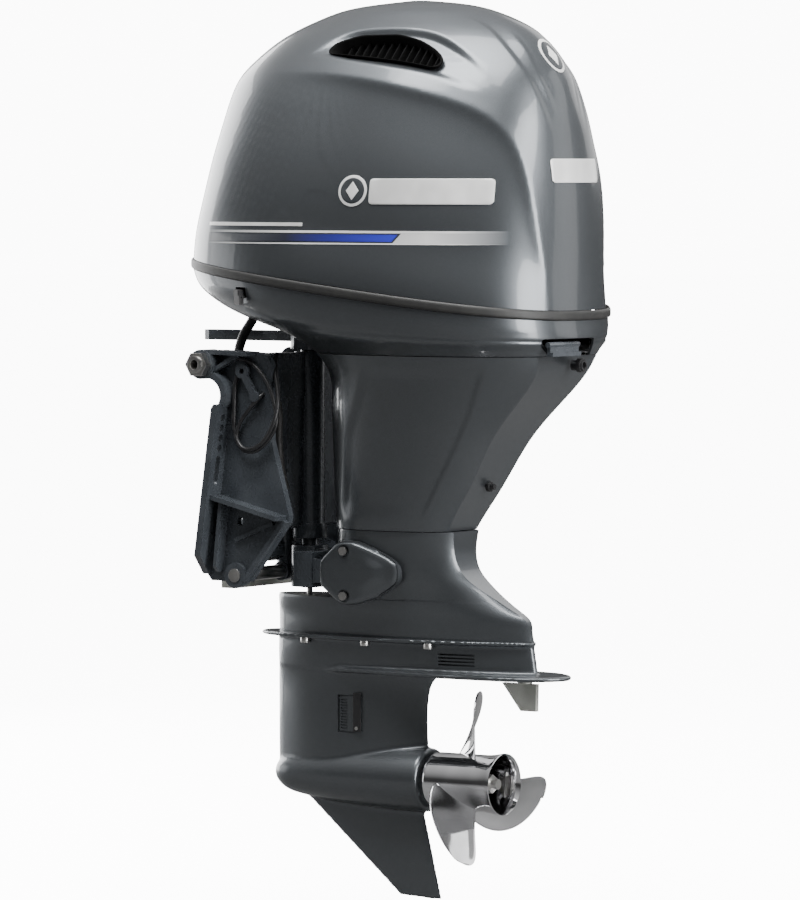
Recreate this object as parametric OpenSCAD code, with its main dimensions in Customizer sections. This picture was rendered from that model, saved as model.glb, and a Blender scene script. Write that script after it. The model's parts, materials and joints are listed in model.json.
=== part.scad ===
// Four-stroke outboard motor, long (20 inch) shaft, with clamp bracket, power trim and tilt,
// powerhead, drive train and three-blade propeller.
// Units: millimetres.  +Z up, +X aft (away from the boat), +Y starboard.
// Origin: centre plane of the boat, at the top aft edge of the transom the motor hangs on.

/* [Reach] */
// Transom top to anti-ventilation plate
transom_to_plate = 512; // [380:1:640]
// Height of the propeller axis below the transom top
prop_drop = 703; // [650:1:760]
// Distance of the vertical driveshaft behind the transom
drive_x = 175; // [170:1:185]

/* [Steering and tilt] */
// Distance of the steering axis behind the transom
steer_x = 70; // [65:1:75]
// Tilt tube centre, forward of the transom face
tilt_x = -40; // [-45:1:-35]
// Tilt tube centre, above the transom top
tilt_z = 25; // [20:1:30]
// Transom rake of the clamp bracket face, degrees
rake = 8; // [0:0.5:14]
// Inner bore of the tilt tube, for the steering cable
cable_bore_r = 8.5; // [8:0.1:9]
// Outer radius of the tilt tube
tilt_tube_r = 15; // [14:0.5:16]
// Radius of the hollow steering shaft
steer_shaft_r = 16; // [15:0.5:17]

/* [Clamp bracket] */
// Inner face of each clamp bracket web
web_in = 138; // [134:1:142]
// Outer face of each clamp bracket web
web_out = 152; // [146:1:156]
// Outer edge of the transom flange
flange_out = 195; // [180:1:200]
// Thickness of the transom flange
flange_t = 13; // [10:1:16]
// Transom bolt hole radius
bolt_r = 6.5; // [6:0.1:7]
// Distance of the bolt columns from the centre plane
bolt_y = 173; // [165:1:180]
// Height of the highest transom bolt, below the transom top
bolt_top = 67; // [60:1:75]
// Spacing of the transom bolts down the flange
bolt_pitch = 18; // [16:1:20]
// Link hole radius in the steering arm
link_r = 5.2; // [4:0.1:7]

/* [Propeller and gears] */
// Propeller radius
prop_r = 168; // [150:1:180]
// Propeller pitch
prop_pitch = 432; // [330:1:560]
// Teeth on the bevel pinion
pinion_teeth = 13; // [11:1:15]
// Teeth on each bevel gear
gear_teeth = 28; // [24:1:32]
// Pitch radius of each bevel gear
gear_r = 36; // [34:0.5:38]

/* [Skins] */
// Cowl skin thickness
cowl_t = 4; // [3:0.5:6]
// Casting wall thickness
case_t = 6; // [5:0.5:8]
// Running clearance between moving parts
gap = 0.3; // [0.2:0.05:0.5]

/* [Hidden] */

$fn = 48;
tiny = 0.01;
prop_z = -prop_drop;
plate_z = -transom_to_plate;
module_mm = 2 * gear_r / gear_teeth;
pinion_r = module_mm * pinion_teeth / 2;
ring_q = 11;                        // points in each quarter of a cowl section

paint_grey = [0.30, 0.33, 0.36];
paint_dark = [0.16, 0.18, 0.21];
rubber_black = [0.07, 0.07, 0.08];
steel = [0.75, 0.76, 0.78];
cast_alloy = [0.62, 0.63, 0.64];
zinc = [0.72, 0.73, 0.72];

// ---------------------------------------------------------------- shared shapes

// Solid box between two corners.
module box(x0, x1, y0, y1, z0, z1) {
    translate([x0, y0, z0]) cube([x1 - x0, y1 - y0, z1 - z0]);
}

// Round bars along each axis.
module bar_x(x0, x1, y, z, r) {
    translate([x0, y, z]) rotate([0, 90, 0]) cylinder(h = x1 - x0, r = r);
}
module bar_y(x, y0, y1, z, r) {
    translate([x, y0, z]) rotate([-90, 0, 0]) cylinder(h = y1 - y0, r = r);
}
module bar_z(x, y, z0, z1, r) {
    translate([x, y, z0]) cylinder(h = z1 - z0, r = r);
}

// Side-view outline (x, z) made solid from y0 to y1.
module slab(y0, y1) {
    translate([0, y1, 0]) rotate([90, 0, 0]) linear_extrude(height = y1 - y0) children();
}

// Plan-view outline (x, y) made solid from z0 to z1.
module deck(z0, z1) {
    translate([0, 0, z0]) linear_extrude(height = z1 - z0) children();
}

// Rectangle with rounded corners.
module soft_rect(x0, x1, y0, y1, r) {
    translate([x0 + r, y0]) square([x1 - x0 - 2 * r, y1 - y0]);
    translate([x0, y0 + r]) square([x1 - x0, y1 - y0 - 2 * r]);
    for (x = [x0 + r, x1 - r], y = [y0 + r, y1 - r]) translate([x, y]) circle(r = r);
}

// Moves a part from the transom-top origin used above to the assembly's origin in the tilt tube.
module at_tilt_tube() translate([-tilt_x, 0, -tilt_z]) children();

module both_sides() {
    children();
    mirror([0, 1, 0]) children();
}

// One quarter of an egg-shaped section: t = 0 at the widest point, t = 1 on the centre line.
// reach is signed, c is the distance at which a flat end cuts the quarter off.
function quarter(xm, reach, w, n, c, t) =
    let(
        a_len = abs(reach),
        cut = min(c, a_len),
        corner = cut < a_len ? acos(pow(cut / a_len, n / 2)) : 0,
        edge = w * pow(sin(corner), 2 / n),
        split = cut < a_len ? 0.72 : 1,
        a = 90 - (90 - corner) * min(t / split, 1),
        s = reach > 0 ? 1 : -1
    )
    t <= split
        ? [xm + s * a_len * pow(cos(a), 2 / n), w * pow(sin(a), 2 / n)]
        : [xm + s * cut, edge * (1 - (t - split) / (1 - split))];

// Closed outline of a section s = [z, x front, x widest, x rear, half width, n front, n aft, x cut].
function outline(s, q) = concat(
    [for (i = [0:q - 1]) quarter(s[2], s[3] - s[2], s[4], s[6], s[7] - s[2], 1 - i / q)],
    [for (i = [0:q - 1]) quarter(s[2], s[1] - s[2], s[4], s[5], 1e6, i / q)],
    [for (i = [0:q - 1])
        let(p = quarter(s[2], s[1] - s[2], s[4], s[5], 1e6, 1 - i / q)) [p[0], -p[1]]],
    [for (i = [0:q - 1])
        let(p = quarter(s[2], s[3] - s[2], s[4], s[6], s[7] - s[2], i / q)) [p[0], -p[1]]]
);

// Section ring in space; s[8] tips the ring down toward the rear.
function ring(s, q) = [
    for (p = outline(s, q)) [p[0], p[1], s[0] - s[8] * (p[0] - s[2])]
];

// Section moved inward by t and down by drop.
function inset(s, t, drop) = [
    s[0] - drop, s[1] + t, s[2], s[3] - t, s[4] - t, s[5], s[6], s[7] - t, s[8]
];

function flip(v) = [for (i = [len(v) - 1:-1:0]) v[i]];

// Skin through a chain of rings; closed = true joins the last ring to the first.
module chain(rings, closed) {
    n = len(rings[0]);
    m = len(rings);
    last = closed ? m - 1 : m - 2;
    sides = [
        for (i = [0:last], j = [0:n - 1])
            [i * n + j, ((i + 1) % m) * n + j, ((i + 1) % m) * n + (j + 1) % n, i * n + (j + 1) % n]
    ];
    ends = closed ? [] : [
        [for (j = [0:n - 1]) j],
        [for (j = [0:n - 1]) m * n - 1 - j]
    ];
    polyhedron(points = [for (r = rings) each r], faces = concat(sides, ends), convexity = 6);
}

// Tube between outer rows and the same rows moved inward, open at both ends.
module open_tube(rows, t, q) {
    chain(concat([for (s = rows) ring(s, q)], flip([for (s = rows) ring(inset(s, t, 0), q)])), true);
}

// ---------------------------------------------------------------- section tables
// Each row: z, x front, x widest, x rear, half width, n front, n aft, x cut, tip

far = 1e5;
cowl_rows = [
    [167, -120, 288, 638, 250, 2.6, 2.6, far, 0.1176],
    [205, -117, 288, 637, 249.5, 2.6, 2.6, far, 0.100],
    [250, -111, 288, 636, 247.5, 2.6, 2.6, far, 0.066],
    [300, -102, 288, 634, 243, 2.6, 2.6, far, 0.030],
    [349, -94, 288, 631, 236, 2.55, 2.55, far, 0.006],
    [384, -88, 288, 627, 229, 2.5, 2.5, far, 0],
    [419, -80, 288, 622, 220, 2.45, 2.45, far, 0],
    [454, -72, 289, 617, 209, 2.4, 2.4, far, 0],
    [489, -64, 290, 609, 196, 2.35, 2.35, far, 0],
    [524, -52, 291, 599, 179, 2.3, 2.3, far, 0],
    [559, -21, 293, 580, 156, 2.25, 2.25, far, 0],
    [594, 24, 296, 552, 125, 2.2, 2.2, far, 0],
    [628, 95, 300, 497, 85, 2.1, 2.1, far, 0],
    [646, 150, 302, 445, 60, 2.05, 2.05, far, 0],
    [657, 225, 304, 383, 30, 2, 2, far, 0],
    [662.5, 290, 304, 318, 8, 2, 2, far, 0]
];

bottom_rows = [
    [48, 122, 400, 631, 184, 2.4, 2.4, far, 0],
    [60, 106, 385, 634, 202, 2.4, 2.4, far, 0.010],
    [74, 75, 365, 637, 222, 2.45, 2.45, far, 0.028],
    [86, 18, 345, 638, 230, 2.45, 2.45, far, 0.048],
    [98, -38, 320, 639, 237, 2.5, 2.5, far, 0.068],
    [114, -85, 300, 639, 243, 2.55, 2.55, far, 0.088],
    [132, -112, 290, 638, 247, 2.6, 2.6, far, 0.105],
    [149.5, -121, 285, 637, 249, 2.6, 2.6, far, 0.1176]
];

apron_rows = [
    [-262, 148, 270, 405, 89, 2.4, 2.4, 394, 0],
    [-243, 147, 278, 417, 94, 2.4, 2.4, 404, 0],
    [-189, 146, 300, 454, 106, 2.4, 2.4, 440, 0],
    [-100, 148, 335, 510, 130, 2.4, 2.4, 495, 0],
    [-38, 151, 360, 567, 150, 2.4, 2.4, 550, 0],
    [20, 146, 385, 618, 171, 2.4, 2.4, 598, 0],
    [46, 124, 400, 631, 183, 2.4, 2.4, 608, 0]
];

case_rows = [
    [-451, 9, 200, 541, 56, 2.2, 1.7, 538, 0],
    [-434, 9, 200, 538, 58, 2.2, 1.7, 535, 0],
    [-411, 9, 200, 530, 62, 2.2, 1.7, 526, 0],
    [-403, 9, 200, 519, 64, 2.2, 1.7, 513, 0],
    [-386, 9, 200, 490, 68, 2.2, 1.8, 482, 0],
    [-382, 146, 250, 484, 69, 2.2, 1.8, 474, 0],
    [-357, 146, 260, 449, 73, 2.2, 2.0, 437, 0],
    [-337, 146, 270, 424, 77, 2.2, 2.2, 414, 0],
    [-320, 146, 270, 413, 79, 2.2, 2.3, 404, 0],
    [-296, 146, 270, 408, 81, 2.2, 2.4, 399, 0],
    [-264, 146, 270, 412, 85, 2.2, 2.4, 401, 0]
];

// ---------------------------------------------------------------- cowls and trim

// Lens outline of the air intake, in its own plane.
lens_half = 109;
lens_rise = 19;
lens_r = (lens_half * lens_half + lens_rise * lens_rise) / (2 * lens_rise);
module lens(grow) {
    intersection() {
        translate([0, lens_rise - lens_r]) circle(r = lens_r + grow, $fn = 160);
        translate([0, lens_r - lens_rise]) circle(r = lens_r + grow, $fn = 160);
    }
}

// Places a child on the port shoulder of the cowl, its z axis along the shoulder's outward normal.
intake_x = 334;
intake_y = 147;
intake_z = 566;
intake_lean = 48;
module on_shoulder() {
    translate([intake_x, -intake_y, intake_z]) rotate([intake_lean, 0, 0]) rotate([0, 0, 5]) children();
}

module top_cowl() color(paint_grey) {
    q = ring_q;
    inner = [for (i = [0:2:len(cowl_rows) - 2]) inset(cowl_rows[i], cowl_t, i > 7 ? cowl_t : 0)];
    difference() {
        chain(concat(flip([for (s = inner) ring(s, q)]), [for (s = cowl_rows) ring(s, q)]), false);
        both_sides() on_shoulder() translate([0, 0, -26]) linear_extrude(height = 60) lens(0);
    }
}

screen_depth = 36;
module intake_screens() color(rubber_black) both_sides() on_shoulder() difference() {
    translate([-12, 0, -screen_depth]) linear_extrude(height = 4) lens(-3);
    for (u = [-72:12:48]) translate([u, -6, -screen_depth - 1]) cube([7, 12, 6]);
}

// Moulded rubber strip that fills the seam between the cowls.
seal_low = [150, -123.5, 287, 640.5, 252.5, 2.6, 2.6, far, 0.1176];
seal_high = [166.5, -122.5, 288, 640.5, 253, 2.6, 2.6, far, 0.1176];
module cowl_seal() color(rubber_black) open_tube([seal_low, seal_high], 9, ring_q);

recess_y = 64;                      // half width of the opening round the steering yoke
recess_top = 90;
grommet = [-105, 62, 166];          // cable grommet centre on the front of the bottom cowl
grommet_r = 25;
switch_at = [80, -232, 146];        // tilt switch on the port side
module bottom_cowl() color(paint_grey) difference() {
    open_tube(bottom_rows, 5, ring_q);
    box(-60, 138, -recess_y, recess_y, 20, recess_top);
    bar_x(-140, -80, grommet[1], grommet[2], grommet_r + gap);
    translate(switch_at) rotate([0, 0, -22]) cube([24, 24, 34], center = true);
    box(620, 660, -104, 40, 44, 78);
}

module ptt_switch() color(rubber_black) translate(switch_at) rotate([0, 0, -22]) {
    translate([0, -1, 0]) cube([16, 9, 26], center = true);
    translate([0, -6, 7]) cube([13, 3, 9], center = true);
    bar_x(-10, 10, 2, 0, 3);
}

// Rear and front cowl latch levers; each turns on its own cross pin.
module rear_latch_lever() color(paint_dark) {
    box(628, 635, -98, -6, 48, 70);
    bar_y(631.5, -101, -3, 68, 5);
    box(635, 640, -98, -6, 48, 55);
}
module front_latch_lever() color(paint_dark) {
    box(-134, -128, -52, 8, 168, 192);
    bar_y(-130, -55, 11, 192, 4);
}

module rigging_grommet() color(rubber_black) translate(grommet) rotate([0, 90, 0]) difference() {
    translate([0, 0, -33]) cylinder(h = 46, r = grommet_r);
    for (a = [0:120:240]) rotate([0, 0, a]) translate([12, 0, -35]) cylinder(h = 50, r = 6.5);
}

module flush_connector() color(rubber_black) difference() {
    union() {
        bar_x(611, 634, 14, 30, 9);
        bar_x(622, 631, 14, 30, 12);
    }
    bar_x(626, 640, 14, 30, 6);
}

module telltale() color(rubber_black) {
    bar_x(444, 460, 0, -184, 5);
    bar_x(446, 452, 0, -184, 9);
}

// ---------------------------------------------------------------- cases

module apron() color(paint_grey) open_tube(apron_rows, 5, ring_q);

// Outline of the lower mount cover in side view: blunt in front, tapering aft.
module cover_outline(grow) {
    polygon([
        [158 - grow, -318], [158 - grow, -360], [192, -386 - grow], [222, -394 - grow],
        [268, -382 - grow], [318 + grow, -351], [318 + grow, -320], [262, -292 + grow],
        [222, -281 + grow], [194, -285 + grow]
    ]);
}

boss_y = 83;
module upper_case() color(paint_grey) difference() {
    union() {
        open_tube(case_rows, case_t, ring_q);
        both_sides() slab(62, boss_y) cover_outline(-6);
    }
    box(160, 300, -61, 61, -392, -284);
    bar_z(steer_x, 0, -400, -370, 8);
}

cover_out = 105;
module mount_covers() color(paint_grey) both_sides() difference() {
    union() {
        slab(boss_y + 0.5, cover_out - 5) cover_outline(0);
        slab(cover_out - 5 - tiny, cover_out) cover_outline(-7);
    }
    slab(boss_y, cover_out - 7) polygon([
        [150, -374], [246, -374], [296, -352], [296, -316], [246, -300], [150, -300]
    ]);
}

flange_bolt_x = [99, 226, 359];
flange_bolt_y = 58;
cover_bolt_z = [-299, -378];
module case_bolts() color(steel) both_sides() {
    for (x = flange_bolt_x) {
        bar_z(x, -flange_bolt_y, -458.2 - 9, -458.2, 8);
        bar_z(x, -flange_bolt_y, -458.2, -452, 4);
    }
    for (z = cover_bolt_z) bar_y(213, -cover_out - 5, -cover_out - 0.2, z, 7.5);
}

yoke_arm_in = 84;
yoke_arm_out = 92;
module mount_rubbers() color(rubber_black) both_sides() {
    slab(-97.8, -yoke_arm_out - 0.2) soft_rect(196, 290, -356, -320, 10);
    bar_x(113, 134, -38, 68, 17);
}

// Steering arm and upper yoke, clamped on the head of the hollow steering shaft.
arm_z0 = 63;
arm_z1 = 81;
shaft_low = -374;
shift_bore_r = 8;
link_x = -140;
module steering_arm() color(paint_dark) difference() {
    union() {
        deck(50, 86) {
            translate([steer_x, 0]) circle(r = 34);
            soft_rect(steer_x, 112, -58, 58, 8);
        }
        deck(arm_z0, arm_z1) polygon([[steer_x, -26], [steer_x, 26], [-20, 15], [-140, 13],
            [-153, 7], [-153, -7], [-140, -13], [-20, -15]]);
    }
    bar_z(steer_x, 0, 40, 90, steer_shaft_r + 0.1);
    bar_z(link_x, 0, arm_z0 - 1, arm_z1 + 1, link_r);
}

// Hollow steering shaft with the lower yoke at its foot, whose arms straddle the case.
module lower_yoke() color(paint_dark) difference() {
    union() {
        bar_z(steer_x, 0, shaft_low, 84, steer_shaft_r);
        bar_z(steer_x, 0, -372, -298, 33);
        box(steer_x, 140, -26, 26, -368, -304);
        box(100, 140, -97, 97, -366, -304);
        both_sides() box(130, 276, yoke_arm_in, yoke_arm_out, -358, -316);
    }
    bar_z(steer_x, 0, shaft_low - 1, 90, shift_bore_r);
}

exhaust_x = 295;
exhaust_r = 28;
module engine_plate() color(cast_alloy) difference() {
    union() {
        deck(20, 44) soft_rect(158, 430, -56, 56, 20);
        deck(20, 44) soft_rect(192, 430, -92, 92, 30);
    }
    bar_z(drive_x, 0, 10, 50, 14);
    bar_z(exhaust_x, 0, 10, 50, exhaust_r - 4);
}

module oil_pan() color(cast_alloy) difference() {
    deck(-150, 19.8) soft_rect(200, 400, -72, 72, 22);
    difference() {
        deck(-144, 30) soft_rect(206, 394, -66, 66, 18);
        bar_z(exhaust_x, 0, -150, 30, exhaust_r + 8);
    }
    bar_z(exhaust_x, 0, -160, 30, exhaust_r + 3);
}

module exhaust_tube() color(cast_alloy) difference() {
    union() {
        bar_z(exhaust_x, 0, -330, 19.7, exhaust_r);
        bar_z(exhaust_x, 0, -170, -160, exhaust_r + 12);
    }
    bar_z(exhaust_x, 0, -335, 25, exhaust_r - 4);
}

// ---------------------------------------------------------------- clamp bracket and tilt gear

// X of the raked transom face at height z.
function face_x(z) = z * tan(rake);

notch = [-28, -29];                 // relief over the transom edge
notch_r = 30;
lower_pin_at = [19, -346];
lower_pin_r = 12;
boss_r = 26;

module web_outline() {
    difference() {
        union() {
            translate([tilt_x, tilt_z]) circle(r = boss_r);
            polygon([
                [tilt_x, tilt_z + boss_r - 1], [20, 50], [56, 48], [84, 42], [92, 28], [92, -106],
                [130, -238], [128, -250], [45, -357], [-36, -357],
                [face_x(-342), -342], [face_x(-52), -52], [-28, 1], [-55, 1]
            ]);
            translate(lower_pin_at) circle(r = 22);
        }
        translate(notch) circle(r = notch_r);
        translate(lower_pin_at) circle(r = lower_pin_r + 0.1);
        translate([26, -251]) circle(r = 8);
        translate([tilt_x, tilt_z]) circle(r = tilt_tube_r + 0.1);
    }
}

// Slanting outline between two side-view points, t thick.
module strip(a, b, t) {
    d = [b[0] - a[0], b[1] - a[1]];
    len_ab = norm(d);
    translate(a) rotate(atan2(d[1], d[0])) translate([0, -t / 2]) square([len_ab, t]);
}

module clamp_half() {
    difference() {
        union() {
            slab(web_in, web_out) web_outline();
            // transom flange
            slab(web_in, flange_out) difference() {
                polygon([[face_x(-44), -44], [face_x(-44) + flange_t, -44],
                    [face_x(-345) + flange_t, -345], [face_x(-345), -345]]);
                translate(notch) circle(r = notch_r);
            }
            // hook rim round the notch, and the boss of the tilt tube
            slab(web_out - tiny, 180) difference() {
                translate(notch) circle(r = notch_r + 12);
                translate(notch) circle(r = notch_r);
                translate([notch[0] - 60, notch[1] - 60]) square([60, 120]);
                translate([notch[0] - 60, notch[1] - 60]) square([120, 42]);
            }
            slab(web_out - tiny, 180) difference() {
                translate([tilt_x, tilt_z]) circle(r = boss_r);
                translate([tilt_x, tilt_z]) circle(r = tilt_tube_r + 0.1);
            }
            // top rim
            slab(web_out - tiny, 178) strip([tilt_x, tilt_z + boss_r - 4], [58, 44], 7);
            slab(web_out - tiny, 172) strip([-34, 6], [30, 42], 7);
            // ribs
            slab(web_out - tiny, 186) strip([face_x(-206) + 4, -206], [124, -242], 8);
            slab(web_out - tiny, 176) strip([0, -206], [-14, -340], 7);
            slab(web_out - tiny, 172) strip([-24, -206], [-38, -340], 6);
            slab(web_out - tiny, 165) strip([40, -355], [127, -247], 8);
            slab(web_out - tiny, 158) strip([18, -284], [98, -252], 7);
            slab(web_out - tiny, 160) difference() {
                translate(lower_pin_at) circle(r = 22);
                translate(lower_pin_at) circle(r = lower_pin_r + 0.1);
            }
        }
        // transom bolt holes and adjusting slot, square to the raked face
        for (i = [0:3]) translate([face_x(-bolt_top), bolt_y, -bolt_top]) rotate([0, 90 + rake, 0])
            translate([i * bolt_pitch, 0, -20]) cylinder(h = 60, r = bolt_r);
        translate([face_x(-140), bolt_y, -140]) rotate([0, 90 + rake, 0])
            translate([0, 0, -20]) linear_extrude(height = 60) {
                circle(r = bolt_r);
                translate([0, -bolt_r]) square([38, 2 * bolt_r]);
                translate([38, 0]) circle(r = bolt_r);
            }
        // bevelled lower outer corner of the flange
        translate([-90, flange_out - 34, -345]) rotate([45, 0, 0]) translate([0, 0, -60])
            cube([90, 90, 60]);
    }
}

module clamp_bracket_port() color(paint_dark) mirror([0, 1, 0]) clamp_half();
module clamp_bracket_starboard() color(paint_dark) clamp_half();

tube_end = 200;
module tilt_tube() color(steel) difference() {
    bar_y(tilt_x, -tube_end, tube_end, tilt_z, tilt_tube_r);
    bar_y(tilt_x, -tube_end - 1, tube_end + 1, tilt_z, cable_bore_r);
}

module tilt_tube_nuts() color(steel) both_sides() difference() {
    translate([tilt_x, 180.3, tilt_z]) rotate([-90, 0, 0]) cylinder(h = 14, r = 23, $fn = 6);
    bar_y(tilt_x, 170, 210, tilt_z, tilt_tube_r + 0.1);
}

module lower_pin() color(steel) bar_y(lower_pin_at[0], -162, 162, lower_pin_at[1], lower_pin_r);

// Trim rod axis: starts at the cylinder, points aft and up.
trim_y = 68;
trim_at = [-22, -268];
trim_lean = 60;                     // angle from vertical
trim_r = 9;
module along_trim(y) translate([trim_at[0], y, trim_at[1]]) rotate([0, trim_lean, 0]) children();

motor_can = [8, 74];                // x, y of the trim pump motor
module ptt_unit() color(paint_dark) {
    difference() {
        union() {
            slab(-web_in + 0.2, web_in - 0.2) polygon([
                [-38, -328], [-33, -296], [8, -290], [32, -300], [34, -318], [20, -326]]);
            for (y = [-trim_y, trim_y]) {
                along_trim(y) cylinder(h = 58, r = 19);
                box(-30, 8, y - 19, y + 19, -300, -262);
            }
            for (y = [-motor_can[1], motor_can[1]]) box(-12, 16, y - 16, y + 16, -262, -222);
        }
        for (y = [-trim_y, trim_y]) along_trim(y) translate([0, 0, 4]) cylinder(h = 70, r = trim_r + gap);
        box(-60, 60, -26, 26, -380, -230);
        bar_y(lower_pin_at[0], -150, 150, lower_pin_at[1], lower_pin_r + gap);
    }
    // electric motor and fluid reservoir
    bar_z(motor_can[0], -motor_can[1], -225, -80, 25);
    bar_z(motor_can[0], -motor_can[1], -82, -76, 21);
    bar_z(motor_can[0], motor_can[1], -225, -110, 23);
    bar_z(motor_can[0], motor_can[1], -112, -100, 10);
}

module bracket_anode() color(zinc) difference() {
    box(-34, -4, -126, 126, -372, -358);
    for (y = [-90, 90]) bar_z(-19, y, -380, -350, 5);
}

upper_pin_at = [10, -25];
tilt_len = norm([upper_pin_at[0] - lower_pin_at[0], upper_pin_at[1] - lower_pin_at[1]]);
tilt_turn = atan2(upper_pin_at[0] - lower_pin_at[0], upper_pin_at[1] - lower_pin_at[1]);
module along_tilt() translate([lower_pin_at[0], 0, lower_pin_at[1]]) rotate([0, tilt_turn, 0]) children();

tilt_rod_r = 10;
module tilt_cylinder() color(paint_dark) difference() {
    union() {
        along_tilt() translate([0, 0, 10]) cylinder(h = 50, r = 16);
        along_tilt() translate([0, 0, 52]) cylinder(h = 158, r = 21);
        along_tilt() translate([0, 0, 204]) cylinder(h = 14, r = 23);
        bar_y(lower_pin_at[0], -18, 18, lower_pin_at[1], 16.5);
    }
    bar_y(lower_pin_at[0], -30, 30, lower_pin_at[1], lower_pin_r + gap);
    along_tilt() translate([0, 0, 30]) cylinder(h = 200, r = tilt_rod_r + gap);
}

upper_pin_r = 8;
module tilt_rod() color(steel) {
    along_tilt() translate([0, 0, 120]) cylinder(h = tilt_len - 132, r = tilt_rod_r);
    bar_y(upper_pin_at[0], -13, 13, upper_pin_at[1], 15);
    bar_y(upper_pin_at[0], -34, 34, upper_pin_at[1], upper_pin_r);
}

trim_pad_gap = 66.4;
module trim_rods() color(steel) for (y = [-trim_y, trim_y])
    along_trim(y) translate([0, 0, 5]) cylinder(h = trim_pad_gap - 5, r = trim_r);

// Lever that holds the motor up for trailering, on the port bracket.
lever_at = [38, 14];
module tilt_support_lever() color(paint_dark) difference() {
    slab(-web_out - 14, -web_out - 5) {
        translate(lever_at) circle(r = 13);
        strip(lever_at, [lever_at[0] + 26, lever_at[1] - 44], 12);
        translate([lever_at[0] + 26, lever_at[1] - 44]) circle(r = 9);
    }
    bar_y(lever_at[0], -200, -150, lever_at[1], 5);
}

// ---------------------------------------------------------------- swivel bracket

swivel_low = -285;
swivel_top = 45;
bush_r = 19;
lug_slot = 11;
module swivel_bracket() color(paint_dark) difference() {
    union() {
        bar_z(steer_x, 0, swivel_low, swivel_top, 27);
        bar_z(steer_x, 0, swivel_low, swivel_low + 26, 31);
        // side arms up to the tilt tube
        both_sides() slab(100, 128) {
            translate([tilt_x, tilt_z]) circle(r = 24);
            polygon([[tilt_x, tilt_z + 24], [70, 44], [78, 30], [78, -40], [60, -60],
                [tilt_x + 8, tilt_z - 22]]);
        }
        box(50, 78, -128, 128, -34, 44);
        // lugs of the tilt rod
        both_sides() slab(17, 33)
            polygon([[-24, -6], [-20, 4], [54, 16], [54, -70], [40, -70], [-8, -44], [-24, -34]]);
        // web between the arms, back rib and thrust pads of the trim rods
        slab(-78, 78) polygon([[62, -30], [76, -30], [74, -200], [72, -262], [62, -262]]);
        slab(-12, 12) polygon([[60, -40], [48, -60], [46, -270], [60, -280]]);
        slab(-50, 50) polygon([[50, -262], [56, -268], [72, -262], [72, -196], [60, -188], [50, -206]]);
        both_sides() slab(42, 92)
            polygon([[47, -262], [56, -268], [72, -262], [72, -196], [60, -188], [36, -226]]);
        both_sides() slab(60, 78) polygon([[60, -30], [76, -30], [72, -200], [60, -200]]);
    }
    bar_z(steer_x, 0, swivel_low - 1, swivel_top + 1, bush_r);
    bar_y(tilt_x, -140, 140, tilt_z, tilt_tube_r + gap);
    // slot for the upper pin
    both_sides() slab(10, 40) {
        translate(upper_pin_at) circle(r = upper_pin_r + 0.8);
        translate([upper_pin_at[0] - lug_slot, upper_pin_at[1] + 10]) circle(r = upper_pin_r + 3.6);
        strip(upper_pin_at, [upper_pin_at[0] - lug_slot, upper_pin_at[1] + 10], 2 * (upper_pin_r + 3));
    }
    // pad faces, square to the trim rods
    for (y = [-trim_y, trim_y]) along_trim(y) cylinder(h = trim_pad_gap + gap, r = 24);
}

module swivel_bushes() color(steel) difference() {
    union() {
        bar_z(steer_x, 0, swivel_low, swivel_low + 45, bush_r - 0.1);
        bar_z(steer_x, 0, swivel_top - 45, swivel_top, bush_r - 0.1);
    }
    bar_z(steer_x, 0, swivel_low - 1, swivel_top + 1, steer_shaft_r + gap);
}

// ---------------------------------------------------------------- powerhead

bore_z = [176, 264, 352, 440];      // cylinder centre heights
bore_r = 40;
block_low = 122;
block_high = 496;
deck_x = 340;
throw_r = 30;
module cylinder_block() color(cast_alloy) difference() {
    union() {
        box(112, deck_x, -90, 90, block_low, block_high);
        for (z = [150:48:480]) box(200, deck_x - 6, -94, 94, z, z + 6);
        box(150, 320, -78, 78, 46, block_low);
        box(160, deck_x, -88, 88, 46, 56);
    }
    box(120, 234, -74, 74, block_low + 12, block_high - 12);
    box(158, 310, -68, 68, 40, block_low - 10);
    for (z = bore_z) bar_x(230, deck_x + 1, 0, z, bore_r + 0.2);
    bar_z(drive_x, 0, 80, 520, crank_r + 1);
    bar_z(exhaust_x, 0, 30, 70, exhaust_r - 4);
}

module cylinder_head() color(cast_alloy) difference() {
    union() {
        box(deck_x + 0.2, 420, -86, 86, block_low, block_high);
        for (z = [150:48:480]) box(deck_x + 8, 412, -90, 90, z, z + 6);
    }
    box(384, 430, -76, 76, block_low + 14, block_high - 14);
    for (y = [-40, 40]) bar_z(402, y, 100, 520, 13);
    for (z = bore_z) bar_x(deck_x - 1, deck_x + 10, 0, z, bore_r - 4);
}

module head_cover() color(paint_dark) difference() {
    union() {
        box(420.2, 448, -84, 84, block_low + 2, block_high - 2);
        translate([448, 0, 0]) box(0, 12, -66, 66, block_low + 16, block_high - 16);
    }
    box(410, 440, -76, 76, block_low + 14, block_high - 14);
    for (z = bore_z) bar_x(430, 470, 0, z, 13);
}

crank_r = 20;
crank_low = 88;
belt_z = [502, 516];
module crankshaft() color(steel) difference() {
    union() {
        bar_z(drive_x, 0, crank_low, 560, crank_r);
        for (i = [0:3]) {
            side = (i == 0 || i == 3) ? 1 : -1;
            for (z = [bore_z[i] - 24, bore_z[i] + 14]) deck(z, z + 10) {
                translate([drive_x, 0]) circle(r = 32);
                translate([drive_x + side * throw_r, 0]) circle(r = 22);
            }
            bar_z(drive_x + side * throw_r, 0, bore_z[i] - 20, bore_z[i] + 20, 18);
        }
        bar_z(drive_x, 0, belt_z[0], belt_z[1], 21);
    }
    bar_z(drive_x, 0, crank_low - 1, 112, 9.3);
}

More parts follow.
